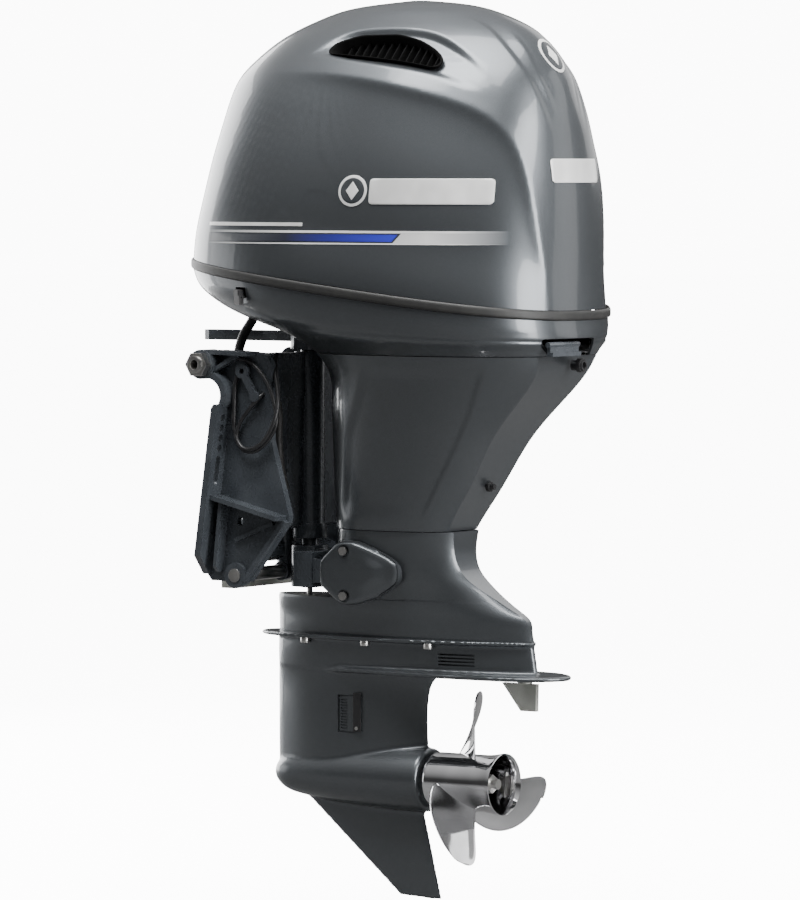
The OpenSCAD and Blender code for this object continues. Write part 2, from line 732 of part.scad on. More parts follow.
flywheel_z = [528, 552];
flywheel_r = 108;
module flywheel() color(steel) difference() {
    union() {
        bar_z(drive_x, 0, flywheel_z[0], flywheel_z[0] + 7, flywheel_r);
        bar_z(drive_x, 0, flywheel_z[0], flywheel_z[1], flywheel_r - 10);
        for (a = [0:7.5:352.5]) translate([drive_x, 0, flywheel_z[0]]) rotate([0, 0, a])
            translate([flywheel_r - 1, -2, 0]) cube([4, 4, 7]);
    }
    bar_z(drive_x, 0, flywheel_z[0] + 8, flywheel_z[1] + 1, flywheel_r - 22);
    bar_z(drive_x, 0, flywheel_z[0] - 1, flywheel_z[1] + 1, crank_r + 0.1);
    for (a = [0:60:300]) translate([drive_x, 0, 0]) rotate([0, 0, a]) bar_z(54, 0, 520, 560, 12);
}

// Pistons stand at the height their crank throw gives them; they ride in the block.
module pistons() color(cast_alloy) for (i = [0:3]) {
    side = (i == 0 || i == 3) ? 1 : -1;
    crown = deck_x - 34 + side * throw_r;
    difference() {
        bar_x(crown - 46, crown, 0, bore_z[i], bore_r);
        bar_x(crown - 47, crown - 9, 0, bore_z[i], bore_r - 5);
    }
}

cam_x = 402;
pulley_r = 38;
module camshaft(y) color(steel) {
    bar_z(cam_x, y, block_low + 2, belt_z[1], 12.7);
    for (i = [0:3]) for (s = [-18, 18])
        deck(bore_z[i] + s - 5, bore_z[i] + s + 5) translate([cam_x, y]) {
            circle(r = 15);
            rotate(90 * i + 20) translate([6, 0]) circle(r = 9);
        }
    bar_z(cam_x, y, belt_z[0], belt_z[1], pulley_r);
}
module camshaft_port() camshaft(-40);
module camshaft_starboard() camshaft(40);

// Toothed belt from the crank pulley round both cam pulleys.
module belt_path(grow) {
    hull() {
        translate([drive_x, 0]) circle(r = 21 + grow, $fn = 32);
        translate([cam_x, -40]) circle(r = pulley_r + grow, $fn = 32);
        translate([cam_x, 40]) circle(r = pulley_r + grow, $fn = 32);
    }
}
module timing_belt() color(rubber_black) deck(belt_z[0] + 1, belt_z[1] - 1) difference() {
    belt_path(4.5);
    belt_path(1);
}

module intake_manifold() color(rubber_black) {
    deck(186, 452) soft_rect(96, 250, -166, -98, 24);
    for (z = bore_z) {
        bar_x(240, 380, -128, z, 15);
        translate([380, -128, z]) sphere(r = 15);
        bar_y(380, -128, -90.5, z, 15);
    }
    bar_z(150, -132, 445, 486, 26);
}

module electrics() color(rubber_black) {
    box(54, 92, -84, 40, 200, 420);
    for (z = [215:30:400]) box(48, 54.01, -80, 36, z, z + 12);
    for (z = bore_z) {
        bar_x(462, 492, 0, z, 11);
        bar_x(486, 500, 0, z, 17);
    }
}

starter_at = [62, 88];
module starter_motor() color(paint_dark) {
    bar_z(starter_at[0], starter_at[1], 350, 510, 33);
    bar_z(starter_at[0], starter_at[1], 505, 548, 9);
    bar_z(starter_at[0], starter_at[1], 514, 526, 20);
    bar_z(starter_at[0] + 2, starter_at[1] + 48, 400, 480, 13);
    box(starter_at[0] - 6, starter_at[0] + 8, starter_at[1] + 28, starter_at[1] + 40, 410, 470);
}

module oil_filter() color(paint_dark) {
    bar_y(262, 94.5, 168, 190, 34);
    bar_y(262, 168, 176, 190, 26);
}

// ---------------------------------------------------------------- lower unit

strut_top = [0, 8, 200, 548, 54, 2.2, 1.7, 543, 0];
strut_low = [0, 6, 150, 322, 42, 1.9, 1.5, 400, 0];
splash_half = [
    [-29, 0], [-20, 22], [6, 44], [50, 60], [110, 69], [220, 72], [330, 68], [430, 54], [535, 20]
];
plate_half = [
    [39, 0], [44, 20], [90, 40], [180, 56], [300, 71], [390, 79], [500, 76], [556, 66],
    [590, 42], [606, 20], [612, 0]
];
module mirrored_outline(half)
    polygon(concat(half, [for (i = [len(half) - 1:-1:0]) [half[i][0], -half[i][1]]]));

torpedo = [
    [2, 0], [4, 12], [12, 22], [30, 33], [60, 40], [100, 45.5], [150, 50.5], [210, 54],
    [280, 56.5], [330, 56]
];
flange_z = -458.2;
gear_cavity_r = 41;
module gearcase() color(paint_grey) difference() {
    union() {
        deck(plate_z - 2, -451.2) polygon(outline(strut_top, ring_q));
        deck(flange_z, -451.2) mirrored_outline(splash_half);
        deck(plate_z - 8, plate_z) mirrored_outline(plate_half);
        deck(prop_z - 10, plate_z - 2) polygon(outline(strut_low, ring_q));
        translate([0, 0, prop_z]) rotate([0, 90, 0]) rotate_extrude($fn = 64)
            polygon(concat([for (p = torpedo) [p[1], p[0]]], [[0, 330]]));
        slab(-5, 5) polygon([[36, -722], [300, -722], [318, -752], [350, -911], [263, -908]]);
        slab(-7, 7) polygon([[60, -730], [306, -730], [330, -830], [200, -830]]);
    }
    bar_z(drive_x, 0, -660, -440, 13);
    bar_z(drive_x, 0, -700, -655, 23);
    bar_z(drive_x, 0, -470, -440, 30);
    bar_z(steer_x, 0, -700, -440, 7);
    bar_x(50, 140, 0, prop_z, 25);
    bar_x(130, 340, 0, prop_z, gear_cavity_r);
    // exhaust path down to the hub
    box(228, 268, -13, 13, -668, -520);
    box(228, 330, -24, 24, -522, -440);
    both_sides() box(158, 209, -60, -30, -624, -558);
    both_sides() for (x = flange_bolt_x) {
        bar_z(x, -flange_bolt_y, -470, -440, 4.3);
        bar_z(x, -flange_bolt_y, -478, flange_z, 9);
    }
    both_sides() for (z = [-486, -493, -500]) box(356, 434, -80, -44, z, z + 3.2);
}

module water_inlet_covers() color(rubber_black) both_sides() difference() {
    translate([0, 2, 0]) union() {
        box(160, 207, -41, -34, -622, -560);
        box(178, 190, -43, -41, -622, -560);
    }
    for (z = [-618:5:-564]) box(163, 177, -50, -30, z, z + 2.6);
}

impeller_z = [-438, -414];
module driveshaft() color(steel) {
    bar_z(drive_x, 0, -667 + 8, 108, 9);
    for (a = [0:60:300]) translate([drive_x, 0, impeller_z[0]]) rotate([0, 0, a])
        translate([6, -2, 0]) cube([19, 4, impeller_z[1] - impeller_z[0]]);
}

module water_pump() color(cast_alloy) difference() {
    union() {
        bar_z(drive_x, 0, -451, -402, 36);
        bar_z(drive_x, 0, -403, -394, 18);
    }
    bar_z(drive_x, 0, impeller_z[0] - 2, impeller_z[1] + 2, 27);
    bar_z(drive_x, 0, -460, -380, 9.4);
}

// Straight bevel teeth on a cone whose tip is the crossing point of the shafts.
// Drawn with the gear axis along +Z, teeth facing the tip at z = 0.
face_w = 9;
tooth_fill = 0.30;
module bevel_teeth(teeth, r, apex) {
    cone = atan2(r, apex);
    long = norm([r, apex]);
    wide = 2 * PI * r / teeth * tooth_fill;
    for (i = [0:teeth - 1]) rotate([0, 0, 360 / teeth * i]) rotate([0, -cone, 0])
        translate([-module_mm * 0.9, -wide / 2, -long]) cube([module_mm * 1.3, wide, face_w]);
}

pinion_top = prop_z + gear_r;
module pinion() color(steel) difference() {
    union() {
        translate([drive_x, 0, pinion_top - face_w * 0.9])
            cylinder(h = face_w * 0.9, r1 = pinion_r * 0.77 - 1.6, r2 = pinion_r - 1.6);
        bar_z(drive_x, 0, pinion_top, pinion_top + 9, pinion_r - 1.6);
        translate([drive_x, 0, prop_z]) rotate([180, 0, 0]) bevel_teeth(pinion_teeth, pinion_r, gear_r);
    }
    bar_z(drive_x, 0, pinion_top - 40, pinion_top + 40, 9.1);
}

dog_teeth = 6;
dog_in = 14;
dog_out = 20.5;
module dog_ring(x0, x1, turn) for (i = [0:dog_teeth - 1])
    translate([x0, 0, 0]) rotate([0, 90, 0]) rotate([0, 0, 60 * i + turn]) linear_extrude(height = x1 - x0)
        polygon([[dog_in, -2.9], [dog_out - 1, -4.2], [dog_out, 0], [dog_out - 1, 4.2], [dog_in, 2.9]]);

// Gear at its station, facing aft (way = 1) or forward (way = -1).
half_gap = pinion_r;
module bevel_gear(way, turn) translate([drive_x, 0, prop_z]) mirror([way < 0 ? 1 : 0, 0, 0]) difference() {
    union() {
        translate([-half_gap - 16, 0, 0]) rotate([0, 90, 0]) cylinder(h = 15, r = gear_r - 1);
        translate([-half_gap - 1, 0, 0]) rotate([0, 90, 0])
            cylinder(h = 1.5, r1 = gear_r - 4, r2 = gear_r - 8);
        rotate([0, 90, 0]) rotate([0, 0, turn]) bevel_teeth(gear_teeth, gear_r, half_gap);
        dog_ring(-half_gap, -12, 0);
        translate([-half_gap - 22, 0, 0]) rotate([0, 90, 0]) cylinder(h = 8, r = 19);
    }
    translate([-60, 0, 0]) rotate([0, 90, 0]) cylinder(h = 80, r = 12.9);
    translate([-half_gap + 0.6, 0, 0]) rotate([0, 90, 0]) difference() {
        cylinder(h = 20, r = 26);
        translate([0, 0, -1]) cylinder(h = 30, r = dog_out + 0.6);
    }
}
module forward_gear() color(steel) bevel_gear(1, 0);
module reverse_gear() color(steel) bevel_gear(-1, 180 / gear_teeth);

dog_len = 13;
dog_reach = 4.2;
module clutch_dog() color(steel) translate([drive_x - 11.5, 0, prop_z]) difference() {
    union() {
        rotate([0, 90, 0]) cylinder(h = dog_len, r = dog_out);
        dog_ring(-dog_reach, tiny, 30);
        dog_ring(dog_len - tiny, dog_len + dog_reach, 30);
    }
    translate([-20, 0, 0]) rotate([0, 90, 0]) cylinder(h = 60, r = 12.8);
}

shaft_r = 12.5;
module propshaft() color(steel) {
    bar_x(112, 440, 0, prop_z, shaft_r);
    bar_x(440, 468, 0, prop_z, 9);
    bar_x(331.5, 337.5, 0, prop_z, 26);
    // hub nut
    translate([442, 0, prop_z]) rotate([0, 90, 0]) cylinder(h = 14, r = 17, $fn = 6);
    bar_x(438, 442, 0, prop_z, 20);
}

// Shift rod down the hollow steering shaft, lever at the top and cam foot at the bottom.
module shift_rod() color(steel) {
    bar_z(steer_x, 0, prop_z + 6, 106, 5);
    bar_z(steer_x, 0, prop_z - 12, prop_z + 12, 12);
    deck(98, 105) {
        translate([steer_x, 0]) circle(r = 12);
        translate([steer_x, -6]) square([52, 12]);
        translate([steer_x + 52, 0]) circle(r = 8);
    }
}

module bearing_carrier() color(cast_alloy) difference() {
    union() {
        bar_x(218, 228, 0, prop_z, gear_cavity_r - 0.2);
        bar_x(218, 328, 0, prop_z, 24);
        bar_x(318, 328, 0, prop_z, gear_cavity_r - 0.2);
    }
    bar_x(210, 340, 0, prop_z, shaft_r + 0.4);
    for (a = [0:60:300]) translate([0, 0, prop_z]) rotate([a, 0, 0]) bar_x(310, 340, 0, 32, 6);
}

module trim_tab() color(zinc) {
    slab(-5, 5) polygon([[478, -524], [548, -524], [547, -572], [516, -572]]);
    bar_z(522, 0, -524.5, -520.5, 13);
}

// ---------------------------------------------------------------- propeller

hub_x0 = 339;
hub_x1 = 480;
blade_rows = 9;
blade_cols = 9;
blade_root_r = 49.3;
blade_x = 402;
blade_rake = 16;
blade_edge = 0.4;                   // half thickness of the blade's rim

// Blade middle surface: angle of the leading and trailing edge, and thickness, by span u = 0..1.
function blade_wide(u) = 62 * (1 - 0.25 * u) * pow(max(1 - pow(u, 5), 0.02), 0.5);
function blade_skew(u) = 16 * u * u;
function blade_thick(u) = 9 * (1 - u) + 1.8;
function blade_at(u, v, side) =
    let(
        r = blade_root_r + (prop_r - blade_root_r) * u,
        a = (v - 0.5) * blade_wide(u) - blade_skew(u),
        bend = 4 * v * (1 - v),
        x = blade_x - prop_pitch * a / 360 * 0.9 + (r - blade_root_r) * tan(blade_rake)
            + side * (blade_thick(u) / 2 * bend + blade_edge)
    )
    [x, r * sin(a), prop_z + r * cos(a)];

// Blade skin in triangles; strips across the thickness close its root and tip.
module blade() {
    n = 2 * blade_cols;
    top = (blade_rows - 1) * n;
    points = [for (i = [0:blade_rows - 1])
        let(u = i / (blade_rows - 1)) each concat(
            [for (j = [0:blade_cols - 1]) blade_at(u, j / (blade_cols - 1), 1)],
            [for (j = [blade_cols - 1:-1:0]) blade_at(u, j / (blade_cols - 1), -1)]
        )];
    sides = [for (a = [0:n:top - n], j = [0:n - 1])
        let(k = (j + 1) % n)
        each [[a + j, a + n + j, a + n + k], [a + j, a + n + k, a + k]]];
    root = [for (j = [0:blade_cols - 2])
        let(q = n - 1 - j)
        each [[j, j + 1, q - 1], [j, q - 1, q]]];
    tip = [for (f = root) [top + f[2], top + f[1], top + f[0]]];
    polyhedron(points = points, faces = concat(sides, root, tip), convexity = 4);
}

module propeller() color(steel) {
    difference() {
        union() {
            translate([0, 0, prop_z]) rotate([0, 90, 0]) rotate_extrude($fn = 64) polygon([
                [44, hub_x0], [49, hub_x0], [50, hub_x0 + 8], [50, 445], [51.5, 466], [54, hub_x1],
                [50, hub_x1], [47.5, 464], [45, 440], [44, 420]]);
            bar_x(hub_x0 + 2, 430, 0, prop_z, 24);
            for (a = [60:120:300]) translate([0, 0, prop_z]) rotate([a, 0, 0]) box(350, 425, -4, 4, 20, 46);
        }
        bar_x(330, 490, 0, prop_z, shaft_r + 0.2);
    }
}

module propeller_blades() color(steel)
    for (a = [0:120:240]) translate([0, 0, prop_z]) rotate([a, 0, 0]) translate([0, 0, -prop_z]) blade();

// ---------------------------------------------------------------- the parts

at_tilt_tube() top_cowl();
at_tilt_tube() intake_screens();
at_tilt_tube() cowl_seal();
at_tilt_tube() bottom_cowl();
at_tilt_tube() ptt_switch();
at_tilt_tube() rear_latch_lever();
at_tilt_tube() front_latch_lever();
at_tilt_tube() rigging_grommet();
at_tilt_tube() flush_connector();
at_tilt_tube() telltale();
at_tilt_tube() apron();
at_tilt_tube() upper_case();
at_tilt_tube() mount_covers();
at_tilt_tube() case_bolts();
at_tilt_tube() mount_rubbers();
at_tilt_tube() steering_arm();
at_tilt_tube() lower_yoke();
at_tilt_tube() engine_plate();
at_tilt_tube() oil_pan();
at_tilt_tube() exhaust_tube();
at_tilt_tube() clamp_bracket_port();
at_tilt_tube() clamp_bracket_starboard();
at_tilt_tube() tilt_tube();
at_tilt_tube() tilt_tube_nuts();
at_tilt_tube() lower_pin();
at_tilt_tube() ptt_unit();
at_tilt_tube() bracket_anode();
at_tilt_tube() tilt_cylinder();
at_tilt_tube() tilt_rod();
at_tilt_tube() trim_rods();
at_tilt_tube() tilt_support_lever();
at_tilt_tube() swivel_bracket();
at_tilt_tube() swivel_bushes();
at_tilt_tube() cylinder_block();
at_tilt_tube() cylinder_head();
at_tilt_tube() head_cover();
at_tilt_tube() crankshaft();
at_tilt_tube() flywheel();
at_tilt_tube() pistons();
at_tilt_tube() camshaft_port();
at_tilt_tube() camshaft_starboard();
at_tilt_tube() timing_belt();
at_tilt_tube() intake_manifold();
at_tilt_tube() electrics();
at_tilt_tube() starter_motor();
at_tilt_tube() oil_filter();
at_tilt_tube() gearcase();
at_tilt_tube() water_inlet_covers();
at_tilt_tube() driveshaft();
at_tilt_tube() pinion();
at_tilt_tube() water_pump();
at_tilt_tube() forward_gear();
at_tilt_tube() reverse_gear();
at_tilt_tube() clutch_dog();
at_tilt_tube() propshaft();
at_tilt_tube() shift_rod();
at_tilt_tube() bearing_carrier();
at_tilt_tube() trim_tab();
at_tilt_tube() propeller();
at_tilt_tube() propeller_blades();
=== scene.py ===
"""Looks of the outboard motor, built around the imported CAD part. Metres; +X aft, +Y starboard, +Z up."""
import json
import math
import bpy
import bmesh
import numpy as np
from mathutils import Matrix, Vector
from mathutils.bvhtree import BVHTree


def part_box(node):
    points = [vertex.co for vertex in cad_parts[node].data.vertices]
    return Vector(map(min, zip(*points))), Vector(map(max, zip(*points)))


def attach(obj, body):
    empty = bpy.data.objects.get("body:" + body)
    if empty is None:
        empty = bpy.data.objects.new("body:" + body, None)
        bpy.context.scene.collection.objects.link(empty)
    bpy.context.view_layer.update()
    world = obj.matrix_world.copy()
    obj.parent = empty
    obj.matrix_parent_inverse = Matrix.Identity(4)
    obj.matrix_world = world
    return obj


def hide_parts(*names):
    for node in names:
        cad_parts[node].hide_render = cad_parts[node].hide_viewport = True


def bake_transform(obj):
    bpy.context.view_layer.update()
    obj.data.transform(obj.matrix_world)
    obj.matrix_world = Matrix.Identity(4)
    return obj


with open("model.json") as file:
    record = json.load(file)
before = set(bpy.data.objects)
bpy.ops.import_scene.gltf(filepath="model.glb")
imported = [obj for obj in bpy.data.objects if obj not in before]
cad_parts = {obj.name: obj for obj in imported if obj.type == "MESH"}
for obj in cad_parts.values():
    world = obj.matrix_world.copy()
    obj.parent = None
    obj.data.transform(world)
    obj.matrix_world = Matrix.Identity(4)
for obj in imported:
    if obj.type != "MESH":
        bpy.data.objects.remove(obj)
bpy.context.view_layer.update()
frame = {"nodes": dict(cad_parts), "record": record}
MM = 0.001
SIDES = {-1: "port", 1: "starboard"}

# Lengths below are millimetres from the transom top, which lies 40 aft of the tilt tube and 25 under it.
tube_low, tube_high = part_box("tilt_tube")
ORIGIN = (tube_low + tube_high) / 2 + Vector((40, 0, -25)) * MM


def metres(p):
    return Vector(p) * MM + ORIGIN


def millimetres(p):
    return list((Vector(p) - ORIGIN) / MM)


# ------------------------------------------------------------------ meshes

def make_object(name, verts, faces, smooth=True):
    """New mesh object from vertices in millimetres."""
    mesh = bpy.data.meshes.new(name)
    mesh.from_pydata((np.asarray(verts, float) * MM + np.array(ORIGIN)).tolist(), [], faces)
    mesh.validate()
    mesh.update()
    obj = bpy.data.objects.new(name, mesh)
    bpy.context.scene.collection.objects.link(obj)
    if smooth:
        mesh.polygons.foreach_set("use_smooth", [True] * len(mesh.polygons))
    return obj


def grid_object(name, grid, closed=True, cap_low=False, cap_high=False):
    """Quads over a grid of points [row, column, xyz]; closed joins the last column to the first."""
    rows, cols, _ = grid.shape
    verts = grid.reshape(-1, 3)
    last = cols if closed else cols - 1
    faces = [
        (r * cols + c, r * cols + (c + 1) % cols, (r + 1) * cols + (c + 1) % cols, (r + 1) * cols + c)
        for r in range(rows - 1) for c in range(last)
    ]
    if cap_low:
        faces.append(tuple(range(cols - 1, -1, -1)))
    if cap_high:
        faces.append(tuple((rows - 1) * cols + c for c in range(cols)))
    return make_object(name, verts, faces)


def modifier(obj, kind, **settings):
    mod = obj.modifiers.new(kind.lower(), kind)
    for key, value in settings.items():
        setattr(mod, key, value)
    return mod


def bake_modifiers(obj):
    """Applies every modifier, so the mesh itself has the final shape."""
    graph = bpy.context.evaluated_depsgraph_get()
    mesh = bpy.data.meshes.new_from_object(obj.evaluated_get(graph))
    obj.modifiers.clear()
    obj.data = mesh


def drop(*objs):
    for obj in objs:
        bpy.data.objects.remove(obj)


def closed_solid(obj):
    """The same closed object with its faces turned outward."""
    bm = bmesh.new()
    bm.from_mesh(obj.data)
    bmesh.ops.recalc_face_normals(bm, faces=bm.faces[:])
    bm.to_mesh(obj.data)
    bm.free()
    return obj


def capped_solid(name, rings):
    """Closed solid through rings, capped at both ends."""
    return closed_solid(grid_object(name, np.array(rings), cap_low=True, cap_high=True))


def facing(obj, outward):
    """The same open sheet with its faces turned the way of the outward normal."""
    bm = bmesh.new()
    bm.from_mesh(obj.data)
    bm.normal_update()
    if sum((face.normal for face in bm.faces), Vector()).dot(outward) < 0:
        bmesh.ops.reverse_faces(bm, faces=bm.faces[:])
    bm.to_mesh(obj.data)
    bm.free()
    return obj


def cut(obj, cutter):
    """Takes the cutter's shape out of obj; the cutter is removed."""
    modifier(obj, "BOOLEAN", object=cutter, operation="DIFFERENCE", solver="EXACT")
    bpy.context.view_layer.update()
    bake_modifiers(obj)
    drop(cutter)


def box_object(name, low, high, turn=None):
    """Box between two corners, optionally turned about its centre."""
    low, high = np.array(low, float), np.array(high, float)
    corners = [[x, y, z] for x in (low[0], high[0]) for y in (low[1], high[1]) for z in (low[2], high[2])]
    faces = [(0, 1, 3, 2), (4, 6, 7, 5), (0, 4, 5, 1), (2, 3, 7, 6), (0, 2, 6, 4), (1, 5, 7, 3)]
    verts = np.array(corners)
    if turn is not None:
        middle = (low + high) / 2
        verts = (verts - middle) @ np.array(turn.to_3x3().transposed()) + middle
    return make_object(name, verts, faces, smooth=False)


def around_circle(count):
    """Angles evenly spaced over a full turn."""
    return np.linspace(0, 2 * math.pi, count, endpoint=False)


def round_bar(name, start, end, radius, sides=48):
    """Cylinder between two points in millimetres."""
    start, end = Vector(start), Vector(end)
    turn = (end - start).to_track_quat("Z", "Y").to_matrix()
    grid = []
    for foot in (start, end):
        ring = [foot + turn @ Vector((math.cos(a), math.sin(a), 0)) * radius for a in around_circle(sides)]
        grid.append([list(p) for p in ring])
    obj = grid_object(name, np.array(grid), cap_low=True, cap_high=True)
    shade_by_angle(obj, 35)
    return obj


def side_box(name, side, low, high):
    """Box on one side; its Y limits are given as distances from the centreline."""
    near, far = sorted((side * low[1], side * high[1]))
    return box_object(name, (low[0], near, low[2]), (high[0], far, high[2]))


def rounded_box(name, low, high, radius, segments):
    """Box between two corners with all its edges rounded."""
    obj = box_object(name, low, high)
    modifier(obj, "BEVEL", width=radius * MM, segments=segments)
    bake_modifiers(obj)
    return obj


def shade_by_angle(obj, degrees):
    """Sharp shading across edges steeper than the angle."""
    mesh = obj.data
    bm = bmesh.new()
    bm.from_mesh(mesh)
    limit = math.radians(degrees)
    for edge in bm.edges:
        steep = len(edge.link_faces) == 2 and edge.calc_face_angle(0) > limit
        edge.smooth = not steep
    for face in bm.faces:
        face.smooth = True
    bm.to_mesh(mesh)
    bm.free()


def join(name, objs):
    """One object from several."""
    bm = bmesh.new()
    for obj in objs:
        bm.from_mesh(obj.data)
    mesh = bpy.data.meshes.new(name)
    bm.to_mesh(mesh)
    bm.free()
    joined = bpy.data.objects.new(name, mesh)
    bpy.context.scene.collection.objects.link(joined)
    drop(*objs)
    return joined


# ------------------------------------------------------------------ egg-shaped sections
# A section row: z, x front, x widest, x rear, half width, n front, n aft, x cut, tip. The two n are
# the powers of the superellipses ahead of and behind the widest place; x cut is where the rear is cut
# flat; tip is the fall of the section's plane per millimetre aft.

FAR = 1e5                           # x cut of a section whose rear is not cut
FLAT_SHARE = 0.12                   # share of a cut section's points on its flat rear
HALF_CURVE_POINTS = 300


def half_outline(row, count):
    """Starboard half of a section from the rear centre to the front centre, evenly spaced."""
    _, xf, xm, xr, w, nf, na, x_cut, _ = row
    a = np.linspace(0, math.pi / 2, HALF_CURVE_POINTS)
    aft = np.stack([xm + (xr - xm) * np.cos(a) ** (2 / na), w * np.sin(a) ** (2 / na)], 1)
    fore = np.stack([xm - (xm - xf) * np.sin(a) ** (2 / nf), w * np.cos(a) ** (2 / nf)], 1)
    path = np.concatenate([aft, fore[1:]])
    if x_cut >= xr:
        return resample(path, count)
    keep = path[path[:, 0] < x_cut]
    corner = np.array([x_cut, np.interp(x_cut, aft[::-1, 0], aft[::-1, 1])])
    flat = np.array([[x_cut, 0.0], corner])
    first = int(count * FLAT_SHARE)
    rest = np.vstack([corner, keep])
    return np.concatenate([resample(flat, first + 1)[:-1], resample(rest, count - first)])


def resample(path, count):
    """Points evenly spaced along a path of points with two or three coordinates."""
    step = np.linalg.norm(np.diff(path, axis=0), axis=1)
    s = np.concatenate([[0], np.cumsum(step)])
    t = np.linspace(0, s[-1], count)
    return np.stack([np.interp(t, s, path[:, k]) for k in range(path.shape[1])], 1)


def section_ring(row, count):
    """Closed ring of 2 * (count - 1) points in space."""
    half = half_outline(row, count)
    full = np.concatenate([half, (half[1:-1] * [1, -1])[::-1]])
    z = row[0] - row[8] * (full[:, 0] - row[2])
    return np.column_stack([full, z])


def natural_spline(t, y, x):
    """Natural cubic spline through (t, y), read at x."""
    n = len(t)
    h = np.diff(t)
    a = np.eye(n)
    b = np.zeros(n)
    for i in range(1, n - 1):
        a[i, i - 1], a[i, i], a[i, i + 1] = h[i - 1], 2 * (h[i - 1] + h[i]), h[i]
        b[i] = 6 * ((y[i + 1] - y[i]) / h[i] - (y[i] - y[i - 1]) / h[i - 1])
    m = np.linalg.solve(a, b)
    k = np.clip(np.searchsorted(t, x) - 1, 0, n - 2)
    d0, d1 = x - t[k], t[k + 1] - x
    return (m[k] * d1 ** 3 + m[k + 1] * d0 ** 3) / (6 * h[k]) \
        + (y[k] / h[k] - m[k] * h[k] / 6) * d1 + (y[k + 1] / h[k] - m[k + 1] * h[k] / 6) * d0


def bell(width):
    """Whole-number offsets and their weights for smoothing by a Gaussian of this width."""
    reach = np.arange(-int(3 * width), int(3 * width) + 1)
    weight = np.exp(-0.5 * (reach / width) ** 2)
    return reach, weight / weight.sum()


def dense_rows(rows, count, soften=0.0):
    """Smooth rows between the given ones, evenly spaced along the profile."""
    rows = np.array(rows, float)
    step = np.linalg.norm(np.diff(rows[:, [0, 1, 3, 4]], axis=0), axis=1)
    t = np.concatenate([[0], np.cumsum(step)])
    x = np.linspace(0, t[-1], count)
    out = np.stack([natural_spline(t, rows[:, k], x) for k in range(rows.shape[1])], 1)
    if soften:
        reach, weight = bell(soften)
        pad = len(reach) // 2
        for k in range(1, rows.shape[1]):
            before = 2 * out[0, k] - out[pad:0:-1, k]
            after = 2 * out[-1, k] - out[-2:-pad - 2:-1, k]
            col = np.concatenate([before, out[:, k], after])
            out[:, k] = np.convolve(col, weight, "valid")
    return out


def loft_grid(rows, count):
    """Grid of section rings, count points to each half."""
    return np.array([section_ring(r, count) for r in rows])


def grid_normals(grid):
    """Outward unit normals of a closed grid whose rings run counter-clockwise and rows run upward."""
    du = np.roll(grid, -1, axis=1) - np.roll(grid, 1, axis=1)
    dv = np.gradient(grid, axis=0)
    n = np.cross(du, dv)
    return n / np.maximum(np.linalg.norm(n, axis=2, keepdims=True), 1e-9)


def smoothstep(x):
    """0 below 0, 1 above 1 and an even curve between."""
    x = np.clip(x, 0, 1)
    return x * x * (3 - 2 * x)


COWL_ROWS = [
    [167, -120, 288, 638, 250, 2.6, 2.6, FAR, 0.1176],
    [205, -117, 288, 637, 249.5, 2.6, 2.6, FAR, 0.100],
    [250, -111, 288, 636, 247.5, 2.6, 2.6, FAR, 0.066],
    [300, -102, 288, 634, 243, 2.6, 2.6, FAR, 0.030],
    [349, -94, 288, 631, 236, 2.55, 2.55, FAR, 0.006],
    [384, -88, 288, 627, 229, 2.5, 2.5, FAR, 0],
    [419, -80, 288, 622, 220, 2.45, 2.45, FAR, 0],
    [454, -72, 289, 617, 209, 2.4, 2.4, FAR, 0],
    [489, -64, 290, 609, 196, 2.35, 2.35, FAR, 0],
    [524, -52, 291, 599, 179, 2.3, 2.3, FAR, 0],
    [559, -21, 293, 580, 156, 2.25, 2.25, FAR, 0],
    [594, 24, 296, 552, 125, 2.2, 2.2, FAR, 0],
    [628, 95, 300, 497, 85, 2.1, 2.1, FAR, 0],
    [646, 150, 302, 445, 60, 2.05, 2.05, FAR, 0],
    [657, 225, 304, 383, 30, 2, 2, FAR, 0],
    [662.5, 290, 304, 318, 8, 2, 2, FAR, 0],
]

BOTTOM_ROWS = [
    [48, 122, 400, 631, 184, 2.4, 2.4, FAR, 0],
    [60, 106, 385, 634, 202, 2.4, 2.4, FAR, 0.010],
    [74, 75, 365, 637, 222, 2.45, 2.45, FAR, 0.028],
    [86, 18, 345, 638, 230, 2.45, 2.45, FAR, 0.048],
    [98, -38, 320, 639, 237, 2.5, 2.5, FAR, 0.068],
    [114, -85, 300, 639, 243, 2.55, 2.55, FAR, 0.088],
    [132, -112, 290, 638, 247, 2.6, 2.6, FAR, 0.105],
    [149.5, -121, 285, 637, 249, 2.6, 2.6, FAR, 0.1176],
]
SEAL_ROWS = [
    [150, -122, 287, 639, 251, 2.6, 2.6, FAR, 0.1176],
    [152, -124, 287, 641, 253, 2.6, 2.6, FAR, 0.1176],
    [158, -124.5, 287, 641.5, 253.6, 2.6, 2.6, FAR, 0.1176],
    [164, -124, 287, 641, 253, 2.6, 2.6, FAR, 0.1176],
    [166.5, -122, 288, 639, 251.5, 2.6, 2.6, FAR, 0.1176],
]
APRON_ROWS = [
    [-262, 148, 270, 405, 89, 2.4, 2.4, 394, 0],
    [-243, 147, 278, 417, 94, 2.4, 2.4, 404, 0],
    [-189, 146, 300, 454, 106, 2.4, 2.4, 440, 0],
    [-100, 148, 335, 510, 130, 2.4, 2.4, 495, 0],
    [-38, 151, 360, 567, 150, 2.4, 2.4, 550, 0],
    [20, 146, 385, 618, 171, 2.4, 2.4, 598, 0],
    [46.5, 124, 400, 630, 183, 2.4, 2.4, 608, 0],
]

